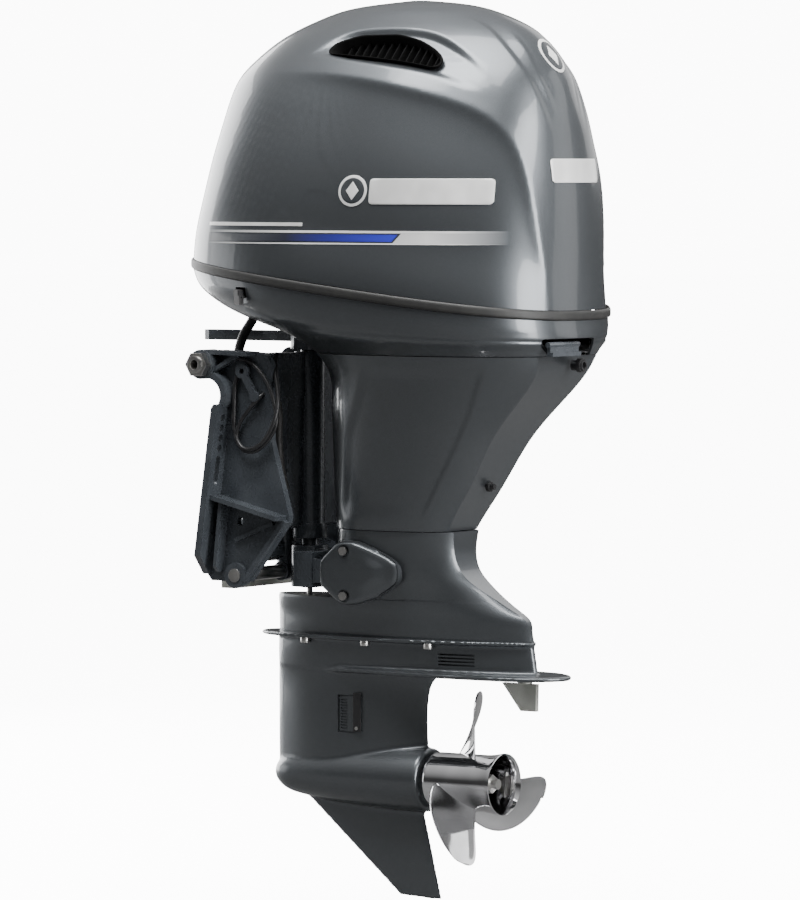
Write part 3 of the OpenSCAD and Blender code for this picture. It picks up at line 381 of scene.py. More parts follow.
# Lines of the cowl's styling on its port side, as points in space; the starboard side mirrors them.
PANEL_EDGE = [
    [22, -115, 535], [125, -156, 535], [208, -170, 534], [333, -181, 519], [444, -177, 495],
    [520, -159, 469], [565, -140, 435], [591, -128, 389], [609, -119, 322], [619, -109, 251],
    [625, -98, 179], [627, -96, 128],
]
SCOOP_TOP = [
    [150, -138, 565], [195, -118, 594], [229, -107, 608], [270, -103, 613], [337, -102, 614],
    [398, -103, 606], [462, -113, 581], [511, -120, 548], [548, -121, 508],
]
SCOOP_LOW = [
    [152, -141, 563], [217, -152, 560], [286, -161, 553], [350, -165, 544], [411, -164, 534],
    [469, -159, 517], [519, -148, 495], [547, -136, 481],
]
SPINE_EDGE = [
    [430, -59, 632], [468, -62, 620], [530, -78, 578], [576, -78, 527], [602, -68, 473], [616, -61, 418],
]
SPINE_LINE = [[511, -47, 611], [553, -51, 578], [580, -56, 541], [600, -49, 501], [616, -39, 449]]
INTAKE = [
    [207, -141, 571], [214, -127, 588], [260, -117, 601], [336, -115, 602], [381, -121, 592],
    [416, -130, 577], [438, -138, 561], [441, -146, 550], [432, -153, 545], [374, -154, 556],
    [301, -151, 564], [227, -146, 570],
]


def smooth_path(points, count):
    """Dense curve through the points, by chord length."""
    pts = np.array(points, float)
    t = np.concatenate([[0], np.cumsum(np.linalg.norm(np.diff(pts, axis=0), axis=1))])
    x = np.linspace(0, t[-1], count)
    return np.stack([natural_spline(t, pts[:, k], x) for k in range(3)], 1)


def side_distance(points, normals, path):
    """Signed distance of each point from a curve lying on the surface, and the curve's share there.
    Positive on the side that the curve's tangent crossed with the surface normal points to."""
    tangent = np.gradient(path, axis=0)
    tangent /= np.linalg.norm(tangent, axis=1, keepdims=True)
    best = np.full(len(points), 1e9)
    index = np.zeros(len(points), int)
    for i, p in enumerate(path):
        d = ((points - p) ** 2).sum(1)
        closer = d < best
        best[closer] = d[closer]
        index[closer] = i
    away = points - path[index]
    across = np.cross(tangent[index], normals)
    sign = np.sign((away * across).sum(1))
    return sign * np.sqrt(best), index / (len(path) - 1)


CREASE = 6.5                        # rounding of the shoulder crease, mm
SPINE_OVERLAP = 5                   # both sides' relief is worked out this far over the centreline, mm
CURVE_POINTS = 160
SPINE_POINTS = 120


def panel_depth(points, normals):
    """Depth of the flat side panel below the crease, and of the hollow just above it."""
    dist, share = side_distance(points, normals, smooth_path(PANEL_EDGE, CURVE_POINTS))
    fade = smoothstep(share / 0.35)
    inside = 0.5 * (dist + np.sqrt(dist ** 2 + CREASE ** 2))
    outside = inside - dist
    panel = 5.0 * (1 - np.exp(-inside / 9)) + 11.0 * (1 - np.exp(-inside / 42))
    hollow = 5.0 * (1 - np.exp(-outside / 20)) * np.exp(-outside / 75)
    return fade * (panel + hollow)


def scoop_depth(points, normals):
    """Depth of the scoop between its rim and its lower lip."""
    top, top_share = side_distance(points, normals, smooth_path(SCOOP_TOP, CURVE_POINTS))
    low, low_share = side_distance(points, normals, smooth_path(SCOOP_LOW, CURVE_POINTS))
    within = smoothstep(top / 16) * smoothstep(-low / 16)
    ahead = smoothstep(np.minimum(top_share, low_share) / 0.25)
    astern = smoothstep((1 - np.maximum(top_share, low_share)) / 0.35)
    return 9.0 * within * ahead * astern


def spine_depth(points, normals):
    """Depth of the two steps beside the spine over the back."""
    depth = 0
    for line, drop_by, step, first_fade in ((SPINE_EDGE, 3.0, 8, 0.3), (SPINE_LINE, 1.8, 6, 0.25)):
        dist, share = side_distance(points, normals, smooth_path(line, SPINE_POINTS))
        fade = smoothstep(share / first_fade) * smoothstep((1 - share) / 0.3)
        depth = depth + drop_by * fade * smoothstep(-dist / step) * smoothstep(1 - (-dist - step) / 40)
    return depth


def cowl_shape():
    """Grid of the top cowl with its panels, scoops and spine pressed in."""
    rows, columns = ((210, 214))
    grid = loft_grid(dense_rows(COWL_ROWS, rows, soften=3), columns)
    points = grid.reshape(-1, 3)
    normal = grid_normals(grid).reshape(-1, 3)
    sink = np.zeros(len(points))
    for side in SIDES:
        mine = points[:, 1] * side > -SPINE_OVERLAP
        port_points = points[mine] * [1, -side, 1]
        port_normals = normal[mine] * [1, -side, 1]
        depth = sum(relief(port_points, port_normals) for relief in (panel_depth, scoop_depth, spine_depth))
        near_centre = np.abs(points[mine][:, 1]) < SPINE_OVERLAP
        sink[mine] = np.where(near_centre, np.maximum(sink[mine], depth), depth)
    above_seal = (grid[:, :, 2] - grid[:, :, 2].min(axis=0)).ravel()
    sink *= 0.45 + 0.55 * smoothstep(above_seal / 110)
    return (points - normal * sink[:, None]).reshape(grid.shape)


def surface_tree(obj):
    """Ray-cast tree of a mesh, in metres."""
    bm = bmesh.new()
    bm.from_mesh(obj.data)
    tree = BVHTree.FromBMesh(bm)
    bm.free()
    return tree


def side_point(tree, x, z, side):
    """Point and normal where a ray from port (-1) or starboard (1) meets the surface at x, z millimetres."""
    hit = tree.ray_cast(metres((x, side * 600, z)), Vector((0, -side, 0)))
    return hit[0], hit[1]


def back_point(tree, y, z):
    """Point and normal where a ray from astern meets the surface at y, z millimetres."""
    hit = tree.ray_cast(metres((900, y, z)), Vector((-1, 0, 0)))
    return hit[0], hit[1]


def laid_patch(name, place, us, vs, lift, thick):
    """Thin closed sheet laid on a surface: place(u, v) gives a point and normal in metres."""
    grid = []
    for v in vs:
        row = []
        for u in us:
            point, normal = place(u, v)
            row.append(millimetres(point + normal * lift * MM))
        grid.append(row)
    _, outward = place(us[len(us) // 2], vs[len(vs) // 2])
    obj = facing(grid_object(name, np.array(grid), closed=False), outward)
    modifier(obj, "SOLIDIFY", thickness=thick * MM, offset=1.0)
    bake_modifiers(obj)
    shade_by_angle(obj, 50)
    return obj


def laid_shape(name, place, outline, centre, lift, thick, rings):
    """Thin closed badge: a flat outline (u, v) round a centre, laid on a surface."""
    outline = np.array(outline, float)
    centre = np.array(centre, float)
    grid = []
    for k in range(rings):
        scale = 1 - k / (rings - 1) * 0.96
        row = []
        for u, v in centre + (outline - centre) * scale:
            point, normal = place(u, v)
            row.append(millimetres(point + normal * lift * MM))
        grid.append(row)
    _, outward = place(*centre)
    obj = facing(grid_object(name, np.array(grid), cap_high=True), outward)
    modifier(obj, "SOLIDIFY", thickness=thick * MM, offset=1.0)
    modifier(obj, "BEVEL", width=0.3 * MM, segments=2, limit_method="ANGLE", angle_limit=math.radians(50))
    bake_modifiers(obj)
    shade_by_angle(obj, 40)
    return obj


# ------------------------------------------------------------------ materials

def put(node, **inputs):
    """Values for a node's inputs; an underscore stands for the space in an input's name."""
    for key, value in inputs.items():
        node.inputs[key.replace("_", " ")].default_value = value


def add_node(owner, kind, **inputs):
    """New node in the tree of a material or a world."""
    node = owner.node_tree.nodes.new(kind)
    put(node, **inputs)
    return node


def link(owner, source, target):
    owner.node_tree.links.new(source, target)


def material(name, colour, rough, metal=0.0, coat=0.0):
    """Principled material and its shader node."""
    mat = bpy.data.materials.new(name)
    mat.use_nodes = True
    shader = mat.node_tree.nodes["Principled BSDF"]
    put(shader, Base_Color=(*colour, 1), Roughness=rough, Metallic=metal)
    put(shader, Coat_Weight=coat, Coat_Roughness=0.06)
    return mat, shader


def object_coords(mat):
    return add_node(mat, "ShaderNodeTexCoord").outputs["Object"]


def noise(mat, scale, detail):
    tex = add_node(mat, "ShaderNodeTexNoise", Scale=scale, Detail=detail)
    link(mat, object_coords(mat), tex.inputs["Vector"])
    return tex.outputs[0]


def vary_roughness(mat, shader, source, low, high):
    """Roughness runs from low to high with a texture."""
    spread = add_node(mat, "ShaderNodeMapRange", From_Min=0.3, From_Max=0.7, To_Min=low, To_Max=high)
    link(mat, source, spread.inputs["Value"])
    link(mat, spread.outputs[0], shader.inputs["Roughness"])


def colour_ramp(owner, source, stops):
    """Colour that follows a source; stops are (position, colour), from low to high."""
    ramp = add_node(owner, "ShaderNodeValToRGB")
    elements = ramp.color_ramp.elements
    while len(elements) < len(stops):
        elements.new(0.5)
    for element, (place, colour) in zip(elements, stops):
        element.position = place
        element.color = (*colour, 1)
    link(owner, source, ramp.inputs["Fac"])
    return ramp.outputs["Color"]


def tint(mat, shader, source, dark, light):
    """Base colour between two tones by a texture."""
    link(mat, colour_ramp(mat, source, [(0.3, dark), (0.7, light)]), shader.inputs["Base Color"])


def bumps(mat, shader, source, strength, distance):
    """Small relief by a texture; the distance is in metres."""
    bump = add_node(mat, "ShaderNodeBump", Strength=strength, Distance=distance)
    link(mat, source, bump.inputs["Height"])
    link(mat, bump.outputs["Normal"], shader.inputs["Normal"])


def metallic_paint(name, dark, light, rough, coat):
    """Metallic paint: fine flakes under a clear coat."""
    mat, shader = material(name, light, rough, 0.75, coat)
    tint(mat, shader, noise(mat, 2600, 1), dark, light)
    vary_roughness(mat, shader, noise(mat, 900, 2), rough - 0.05, rough + 0.06)
    return mat


def satin_paint(name, dark, light, rough):
    """Thick satin paint over a casting, with a faint grain."""
    mat, shader = material(name, light, rough, 0.35, 0.25)
    shader.inputs["Coat Roughness"].default_value = 0.25
    tint(mat, shader, noise(mat, 22, 1), dark, light)
    vary_roughness(mat, shader, noise(mat, 40, 1), rough - 0.03, rough + 0.04)
    bumps(mat, shader, noise(mat, 120, 1), 0.02, 0.0003)
    return mat


def moulded(name, dark, light, rough):
    """Rubber or moulded plastic."""
    mat, shader = material(name, light, rough)
    tint(mat, shader, noise(mat, 40, 3), dark, light)
    bumps(mat, shader, noise(mat, 700, 3), 0.15, 0.0004)
    return mat


def bare_metal(name, dark, light, rough, grain=0.0, metal=1.0):
    """Bare metal with soft tone changes, and a cast grain if asked."""
    mat, shader = material(name, light, rough, metal)
    tint(mat, shader, noise(mat, 24, 1), dark, light)
    vary_roughness(mat, shader, noise(mat, 50, 1), rough * 0.92, rough * 1.1)
    if grain:
        bumps(mat, shader, noise(mat, 300, 4), grain, 0.0008)
    return mat


def run_colour(name, stops, rough=0.35, metal=0.3):
    """Film whose colour changes along the cowl; stops are (metres aft of the transom, colour)."""
    mat, shader = material(name, stops[0][1], rough, metal, 0.5)
    first, last = stops[0][0], stops[-1][0]
    split = add_node(mat, "ShaderNodeSeparateXYZ")
    link(mat, object_coords(mat), split.inputs[0])
    spread = add_node(mat, "ShaderNodeMapRange", From_Min=first + ORIGIN.x, From_Max=last + ORIGIN.x)
    link(mat, split.outputs["X"], spread.inputs["Value"])
    shares = [((place - first) / (last - first), colour) for place, colour in stops]
    link(mat, colour_ramp(mat, spread.outputs[0], shares), shader.inputs["Base Color"])
    return mat


PAINT = (0.075, 0.084, 0.092)
FINISH = {
    "painted_grey": metallic_paint("painted_grey", (0.064, 0.070, 0.076), (0.105, 0.114, 0.123), 0.34, 0.45),
    "bracket_paint": satin_paint("bracket_paint", (0.050, 0.057, 0.066), (0.072, 0.081, 0.092), 0.27),
    "rubber": moulded("rubber", (0.010, 0.010, 0.010), (0.018, 0.018, 0.017), 0.55),
    "black_plastic": moulded("black_plastic", (0.007, 0.007, 0.008), (0.014, 0.014, 0.015), 0.42),
    "stainless": bare_metal("stainless", (0.42, 0.42, 0.41), (0.62, 0.61, 0.59), 0.30),
    "polished_stainless": bare_metal("polished_stainless", (0.58, 0.58, 0.59), (0.72, 0.72, 0.73), 0.09),
    "gear_steel": bare_metal("gear_steel", (0.30, 0.30, 0.31), (0.44, 0.44, 0.45), 0.34),
    "cast_alloy": bare_metal("cast_alloy", (0.40, 0.41, 0.41), (0.55, 0.56, 0.57), 0.52, grain=0.25),
    "engine_black": satin_paint("engine_black", (0.010, 0.010, 0.011), (0.020, 0.020, 0.021), 0.40),
    "bush_bronze": bare_metal("bush_bronze", (0.45, 0.30, 0.12), (0.62, 0.44, 0.20), 0.35),
    "zinc": bare_metal("zinc", (0.44, 0.45, 0.42), (0.60, 0.61, 0.57), 0.55, grain=0.2),
}
SILVER = bare_metal("badge_silver", (0.66, 0.66, 0.65), (0.80, 0.80, 0.79), 0.32, metal=0.35)
DARK_FIELD = moulded("badge_field", (0.020, 0.023, 0.026), (0.035, 0.038, 0.042), 0.35)
# Intake duct: black plastic darkened to near black with almost no specular, as painted shade inside the
# intake.
DUCT_BLACK_AND_SHADE = moulded("duct_black_and_painted_shade", (0.0008, 0.0008, 0.0008), (0.0015, 0.0015, 0.0015), 0.85)
put(DUCT_BLACK_AND_SHADE.node_tree.nodes["Principled BSDF"], Specular_IOR_Level=0.1)


def stands_for(side, node):
    """The node that a pair of pieces replaces, named once, on the port piece."""
    return [node] if side < 0 else []


def finish_piece(obj, body, slot, *nodes, look=None):
    """Material, body and the CAD nodes the piece stands for, which are hidden; for a tuple of two bodies and
    points of a blend, the bodies and points are not used and the piece is tied to no body.
    """
    obj.data.materials.clear()
    obj.data.materials.append(look or FINISH[slot])
    if isinstance(body, tuple):
        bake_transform(obj)
    else:
        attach(obj, body)
    if nodes:
        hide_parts(*nodes)


# ------------------------------------------------------------------ cowling

COWL_COLUMNS = 170                  # points to each half ring of the seal and the bottom cowl
COVER_COLUMNS = 150                 # the same for the leg's covers
COVER_WALL = 4.6                    # wall of the bottom cowl and the leg cover, mm
COVER_ANGLE = 32                    # edges steeper than this stay sharp on the moulded covers


def smooth_loop(points, count, soft):
    """Rounded closed loop through the points."""
    loop = resample(np.array(points + [points[0]], float), count + 1)[:-1]
    return sum(np.roll(loop, k, axis=0) * weight for k, weight in zip(*bell(soft)))


def intake_loop(side):
    """Outline of the intake opening on one side, and the direction that it faces."""
    outward = np.array([0.10, side * 0.70, 0.70])
    loop = smooth_loop([[x, -side * y, z] for x, y, z in INTAKE], 96, 1.6)
    return loop, outward / np.linalg.norm(outward)


def shell(obj, thickness):
    """Gives a sheet its wall, inward from the outer face."""
    modifier(obj, "SOLIDIFY", thickness=thickness * MM, offset=-1.0)
    bake_modifiers(obj)
    return obj


def build_top_cowl():
    """Top cowl with its two intake openings; the tree of its outer face is handed back."""
    cowl = grid_object("cowl_top_shell", cowl_shape(), cap_high=True)
    outer = surface_tree(cowl)
    shell(cowl, 3.6)
    for side in SIDES:
        loop, outward = intake_loop(side)
        cut(cowl, capped_solid("intake_cutter", [loop - outward * 30, loop + outward * 30]))
    shade_by_angle(cowl, 28)
    finish_piece(cowl, "cowl", "painted_grey", "top_cowl")
    return outer


def build_intake(side):
    """Duct mouth behind the opening: a tray with upright louvres, in black plastic darkened further as
    painted shade.
    """
    loop, outward = intake_loop(side)
    centre = loop.mean(0)
    rings = []
    for depth, grow in ((2.6, 1.05), (4.0, 1.0), (27.0, 0.97), (28.5, 0.93), (29.0, 0.5), (29.2, 0.04)):
        rings.append(centre + (loop - centre) * grow - outward * depth)
    tray = grid_object("duct", np.array(rings), cap_high=True)
    modifier(tray, "SOLIDIFY", thickness=1.6 * MM, offset=0.0)
    bake_modifiers(tray)
    louvres = []
    aft = np.array([1.0, 0, 0])
    across = np.cross(outward, aft)
    across /= np.linalg.norm(across)
    for x in range(238, 432, 16):
        near = loop[np.abs(loop[:, 0] - x) < 9]
        spans = (near - centre) @ across * 0.93
        base = centre + aft * (x - centre[0])
        corners = [
            base + across * span - outward * depth + aft * shift
            for depth, shift in ((15.0, -1.1), (15.0, 1.1), (26.5, 5.1), (26.5, 2.9))
            for span in (spans.min(), spans.max())
        ]
        faces = [(0, 1, 3, 2), (2, 3, 5, 4), (4, 5, 7, 6), (6, 7, 1, 0), (0, 2, 4, 6), (1, 7, 5, 3)]
        louvres.append(closed_solid(make_object("louvre", corners, faces, smooth=False)))
    duct = join("intake_duct_" + SIDES[side], [tray] + louvres)
    finish_piece(duct, "cowl", "black_plastic", *stands_for(side, "intake_screens"), look=DUCT_BLACK_AND_SHADE)


def build_seal():
    """Rubber strip round the joint of the two cowls."""
    seal = shell(grid_object("cowl_seal_strip", loft_grid(dense_rows(SEAL_ROWS, 14), COWL_COLUMNS)), 14)
    shade_by_angle(seal, 50)
    finish_piece(seal, "motor", "rubber", "cowl_seal")


def build_bottom_cowl():
    """Bottom cowl with its front recess, grommet hole, switch pocket and latch pocket."""
    grid = loft_grid(dense_rows(BOTTOM_ROWS, 50), COWL_COLUMNS)
    cowl = shell(grid_object("cowl_bottom_pan", grid), COVER_WALL)
    cut(cowl, rounded_box("recess", (-80, -64, 10), (138, 64, 90), 22, 6))
    cut(cowl, round_bar("grommet_hole", (-150, 62, 166), (-70, 62, 166), 25.5))
    flank_turn = Matrix.Rotation(math.radians(-22), 3, "Z")
    cut(cowl, box_object("switch_pocket", (68, -244, 129), (92, -220, 163), flank_turn))
    cut(cowl, rounded_box("latch_pocket", (618, -104, 44), (665, 40, 78), 4, 3))
    shade_by_angle(cowl, COVER_ANGLE)
    finish_piece(cowl, "motor", "painted_grey", "bottom_cowl")


# ------------------------------------------------------------------ mid section

def build_apron():
    """Upper cover of the leg, with a raised crease down its after corner."""
    grid = loft_grid(dense_rows(APRON_ROWS, 120), COVER_COLUMNS)
    x, z = grid[:, :, 0], grid[:, :, 2]
    panel_front = np.interp(z, [-262, -100, 46], [175, 215, 300])
    panel_rear = np.interp(z, [-262, -189, -38, 46], [352, 398, 498, 545])
    height = smoothstep((z + 250) / 40) * smoothstep((32 - z) / 30)
    within = smoothstep((x - panel_front) / 26) * smoothstep((panel_rear - x) / 10)
    sunk = grid - grid_normals(grid) * (within * height * 3.0)[:, :, None]
    apron = shell(grid_object("leg_cover", sunk), COVER_WALL)
    shade_by_angle(apron, COVER_ANGLE)
    finish_piece(apron, "motor", "painted_grey", "apron")


# Upper casing, by height: z, x rear, half width, n front, n aft, x cut
CASE_BACK = [
    [-451.2, 541, 57, 2.1, 1.7, 538], [-434, 538, 59, 2.1, 1.7, 534], [-411, 530, 62, 2.1, 1.7, 525],
    [-400, 513, 64.5, 2.15, 1.75, 507], [-380, 481, 68, 2.2, 1.85, 473], [-357, 449, 73, 2.2, 2.0, 437],
    [-337, 424, 77, 2.2, 2.2, 414], [-320, 413, 79, 2.2, 2.3, 404], [-296, 408, 81, 2.2, 2.4, 399],
    [-263.5, 412, 85, 2.2, 2.4, 401],
]
SHELF = -384                        # height of the step between the foot and the narrow front
CASE_FRONT = 146                    # x of the front above the shelf
FOOT_FRONT = 9                      # x of the front below it
COVER_OUTLINE = [
    [158, -318], [158, -360], [192, -386], [206, -393], [222, -394.5], [240, -391.5], [268, -382],
    [300, -364], [318, -351], [319, -336], [318, -320], [300, -308], [262, -292], [236, -283],
    [222, -281], [206, -282], [194, -285],
]


def outline_rings(loop, middle, side, steps):
    """Rings of a solid that grows outward in Y over an (x, z) outline; steps are (out, scale)."""
    rings = []
    for out, grow in steps:
        ring = middle + (loop - middle) * grow
        rings.append(np.column_stack([ring[:, 0], np.full(len(ring), side * out), ring[:, 1]]))
    return rings


def build_upper_case():
    """Upper casing: a high narrow front part over a shelf, a long foot under it, a boss on each side."""
    table = np.array(CASE_BACK, float)
    foot, top = table[0, 0], table[-1, 0]
    rows = []
    for z in [*np.linspace(foot, SHELF - 3, 30), SHELF - 0.6, SHELF, *np.linspace(SHELF + 3, top, 50)]:
        columns = [natural_spline(table[:, 0], column, np.array([z]))[0] for column in table.T[1:]]
        back, wide, nf, na, flat = columns
        front = CASE_FRONT if z >= SHELF else FOOT_FRONT + 2.0 * smoothstep((z - SHELF + 5) / 4.4)
        rows.append([z, front, 262, back, wide, nf, na, flat, 0])
    parts = [shell(grid_object("case_shell", loft_grid(rows, COVER_COLUMNS)), 5.6)]
    for side in SIDES:
        loop = smooth_loop(COVER_OUTLINE, 72, 1.2)
        rings = outline_rings(loop, loop.mean(0), side, ((60, 0.955), (79, 0.955), (83, 0.94068)))
        parts.append(capped_solid("boss", rings))
    case = join("upper_casing", parts)
    shade_by_angle(case, COVER_ANGLE)
    finish_piece(case, "motor", "painted_grey", "upper_case")


def build_mount_covers():
    """Covers of the lower mounts: rounded rim, and a flat face that sinks into a dish aft."""
    middle = np.array([228.0, -338.0])
    steps = [(83.5, 1.0), (93.0, 1.0), (99.2, 0.985), (103.0, 0.95), (104.6, 0.90)]
    steps += [(104.8, grow) for grow in (0.80, 0.70, 0.60, 0.50, 0.42, 0.2, 0.02)]
    for side in SIDES:
        rings = outline_rings(smooth_loop(COVER_OUTLINE, 144, 1.8), middle, side, steps)
        for ring, (out, grow) in zip(rings, steps):
            if out > 99:
                taper = smoothstep((ring[:, 0] - middle[0]) / 75)
                ring[:, 1] -= side * 8.0 * taper * smoothstep((grow - 0.42) / 0.42)
        cover = capped_solid("mount_cover_" + SIDES[side], rings)
        for z in (-299, -378):
            cut(cover, round_bar("bolt_well", (213, side * 99.5, z), (213, side * 120, z), 11.5, 40))
        shade_by_angle(cover, 40)
        finish_piece(cover, "motor", "painted_grey", *stands_for(side, "mount_covers"))


# ------------------------------------------------------------------ lower unit

SHAFT_Z = -703                      # height of the propeller shaft
TORPEDO_END = 330                   # x of the torpedo's after face
TORPEDO_SIDES = 96
TORPEDO = [                         # x and radius
    [2, 0.5], [4, 12], [12, 22], [30, 33], [60, 40], [100, 45.5], [150, 50.5], [210, 54], [280, 56.5],
    [328, 56],
]
NECK_ROWS = [
    [-513, 8, 205, 552, 50, 2.2, 1.7, 548, 0],
    [-480, 8, 203, 546, 54, 2.2, 1.7, 543, 0],
    [-451.6, 9, 200, 541, 57, 2.1, 1.7, 538, 0],
]
STRUT_ROWS = [
    [-712, 7, 150, 322, 40, 1.9, 1.5, 400, 0],
    [-640, 6, 150, 322, 41, 1.9, 1.5, 400, 0],
    [-560, 6, 150, 323, 42, 1.9, 1.5, 400, 0],
    [-532, 6, 152, 332, 43.5, 1.9, 1.5, 400, 0],
    [-516, 7, 155, 352, 46, 1.95, 1.5, 420, 0],
    [-506, 8, 160, 400, 49, 2.0, 1.6, 450, 0],
]
SPLASH_HALF = [                     # starboard half of the plan outline
    [-29, 0], [-20, 22], [6, 44], [50, 60], [110, 69], [220, 72], [330, 68], [430, 54], [535, 20], [545, 0],
]
PLATE_HALF = [
    [39, 0], [44, 20], [90, 40], [180, 56], [300, 71], [390, 79], [500, 76], [556, 66], [590, 42], [606, 20],
    [612, 0],
]


def plan_plate(name, half, low, high):
    """Flat plate with a rounded rim, from the starboard half of its plan outline."""
    loop = smooth_loop(half + [[x, -y] for x, y in half[-2:0:-1]], 260, 1.5)
    middle = loop.mean(0)
    rim = (high - low) * 0.35
    rings = []
    for z, grow in ((low, 0.988), (low + rim, 1.0), (high - rim, 1.0), (high, 0.988)):
        rings.append(np.column_stack([middle + (loop - middle) * grow, np.full(len(loop), z)]))
    return capped_solid(name, rings)


def shaft_ring(x, radius, sides):
    """Ring about the propeller shaft."""
    angles = around_circle(sides)
    return np.column_stack([np.full(sides, x), radius * np.sin(angles), SHAFT_Z + radius * np.cos(angles)])


def torpedo_solid():
    """Bullet of the gear housing with a flat after face."""
    path = smooth_path([[x, r, 0] for x, r in TORPEDO], 70)
    rings = [shaft_ring(x, max(r, 0.4), TORPEDO_SIDES) for x, r, _ in path]
    rings += [shaft_ring(TORPEDO_END, r, TORPEDO_SIDES) for r in (52, 20, 1)]
    return capped_solid("torpedo", rings)


def skeg_solid(steps=24, sides=60):
    """Fin under the torpedo: raked front edge, thinning to its foot."""
    rings = []
    for k in range(steps):
        t = k / (steps - 1)
        z = SHAFT_Z - 19 - 188 * t
        front = 40 + 223 * t
        back = 304 + 46 * t
        half = 6.5 - 3.2 * t
        foot_drop = 3 if k == steps - 1 else 0
        ring = []
        for a in around_circle(sides):
            u = (1 - math.cos(a)) / 2
            thick = half * abs(math.sin(a)) ** 0.6 * np.sign(math.sin(a))
            ring.append([front + (back - front) * u, thick, z - foot_drop * u])
        rings.append(ring)
    return capped_solid("skeg", rings)


def build_gearcase():
    """Lower casing: strut, plates, torpedo and skeg fused with casting fillets."""
    case = join("gearcase_body", [
        capped_solid("neck", loft_grid(dense_rows(NECK_ROWS, 20), 130)),
        capped_solid("strut", loft_grid(dense_rows(STRUT_ROWS, 60), 130)),
        torpedo_solid(),
        plan_plate("splash_plate", SPLASH_HALF, -458.4, -451.4),
        plan_plate("cavitation_plate", PLATE_HALF, -516.6, -508.2),
        skeg_solid(),
    ])
    modifier(case, "REMESH", mode="VOXEL", voxel_size=2.7 * MM, adaptivity=0.0)
    modifier(case, "SMOOTH", factor=0.5, iterations=7)
    bake_modifiers(case)
    for z in (-477, -483, -489, -495):
        for side in SIDES:
            cut(case, side_box("slot", side, (370, 31, z - 1.5), (440, 80, z + 1.5)))
    for side in SIDES:
        cut(case, side_box("screen_pocket", side, (157.5, 36.5, -624), (209.5, 60, -558)))
    shade_by_angle(case, 35)
    finish_piece(case, "motor", "painted_grey", "gearcase")


BLADE_ROOT = 48.5
BLADE_TIP = 168
BLADE_MIDDLE = 402                  # x of the blade's middle at the shaft
PITCH = 432 * 0.9
RAKE = math.radians(16)


def blade_grid(rows, cols):
    """Closed airfoil rings of one blade from root to tip, about the propeller shaft."""
    rings = []
    for i in range(rows):
        u = 1 - (1 - i / (rows - 1)) ** 1.6
        r = BLADE_ROOT + (BLADE_TIP - BLADE_ROOT) * u
        wide = 62 * (1 - 0.25 * u) * max(1 - u ** 5, 0.0006) ** 0.5
        skew = 16 * u * u
        thick = (9 * (1 - u) + 1.9) * max(1 - u ** 14, 0.15)
        ring = []
        for t in around_circle(cols):
            v = (1 - math.cos(t)) / 2
            face = math.sin(t)
            degrees = (v - 0.5) * wide - skew
            section = 0.5 * thick * np.sign(face) * abs(face) ** 0.75
            cup = 3.0 * smoothstep((0.16 - v) / 0.16) * u
            camber = 10.0 * v * (1 - v) * (1 - 0.5 * u)
            x = BLADE_MIDDLE - PITCH * degrees / 360 + (r - 47.5) * math.tan(RAKE) + section - camber + cup
            a = math.radians(degrees)
            ring.append([x, r * math.sin(a), SHAFT_Z + r * math.cos(a)])
        rings.append(ring)
    return np.array(rings)


def turned(grid, degrees):
    """Grid turned about the propeller shaft."""
    a = math.radians(degrees)
    y, z = grid[..., 1], grid[..., 2] - SHAFT_Z
    out = grid.copy()
    out[..., 1] = y * math.cos(a) + z * math.sin(a)
    out[..., 2] = -y * math.sin(a) + z * math.cos(a) + SHAFT_Z
    return out


def lathe(name, profile, sides):
    """Solid of revolution about the propeller shaft from a closed loop of (x, radius) points."""
    rings = np.array([shaft_ring(x, r, sides) for x, r in profile])
    faces = []
    for i in range(len(profile)):
        near, far = i * sides, (i + 1) % len(profile) * sides
        faces += [(near + j, near + (j + 1) % sides, far + (j + 1) % sides, far + j) for j in range(sides)]
    return closed_solid(make_object(name, rings.reshape(-1, 3), faces))


def build_inlet_strips():
    """Black strainer strip with one screw at the aft end of each water inlet cover."""
    for side, label in SIDES.items():
        strip = side_box("inlet_strip_" + label, side, (190, 40.2, -622), (206.5, 42.4, -553))
        modifier(strip, "BEVEL", width=1.0 * MM, segments=3)
        bake_modifiers(strip)
        finish_piece(strip, "motor", "black_plastic")
        low, high = sorted((side * 41.8, side * 43.6))
        screw = round_bar("inlet_screw_" + label, (198, low, -616), (198, high, -616), 3.4, 24)
        finish_piece(screw, "motor", "stainless")


HUB_PROFILE = [
    (339.5, 43), (339, 48), (341, 49.6), (347, 50), (442, 50), (452, 50.4), (462, 51.6), (471, 53.2),
    (478, 54.6), (480, 54.4), (480.4, 53.2), (478, 51.4), (466, 48.4), (452, 46.6), (436, 45.6),
    (415, 44), (360, 43),
]
BUSH_PROFILE = [(341, 15.5), (341, 24), (428, 24), (430, 22.5), (430, 15.5)]


def build_propeller():
    """Open hub on three vanes, and three cupped blades."""
    parts = [lathe("hub", HUB_PROFILE, 96), lathe("inner", BUSH_PROFILE, 48)]
    for turn in (60, 180, 300):
        vane = box_object("vane", (350, -3.5, -683), (425, 3.5, -657.5))
        verts = np.array([millimetres(v.co) for v in vane.data.vertices])
        for v, p in zip(vane.data.vertices, turned(verts, turn)):
            v.co = metres(p)
        parts.append(vane)
    hub = join("propeller_hub", parts)
    shade_by_angle(hub, 35)
    finish_piece(hub, "prop", "polished_stainless", "propeller")
    blade = blade_grid(60, 64)
    fan = join("propeller_blade_set", [capped_solid("blade", turned(blade, turn)) for turn in (0, 120, 240)])
    shade_by_angle(fan, 60)
    finish_piece(fan, "prop", "polished_stainless", "propeller_blades")


# ------------------------------------------------------------------ badges and stripes

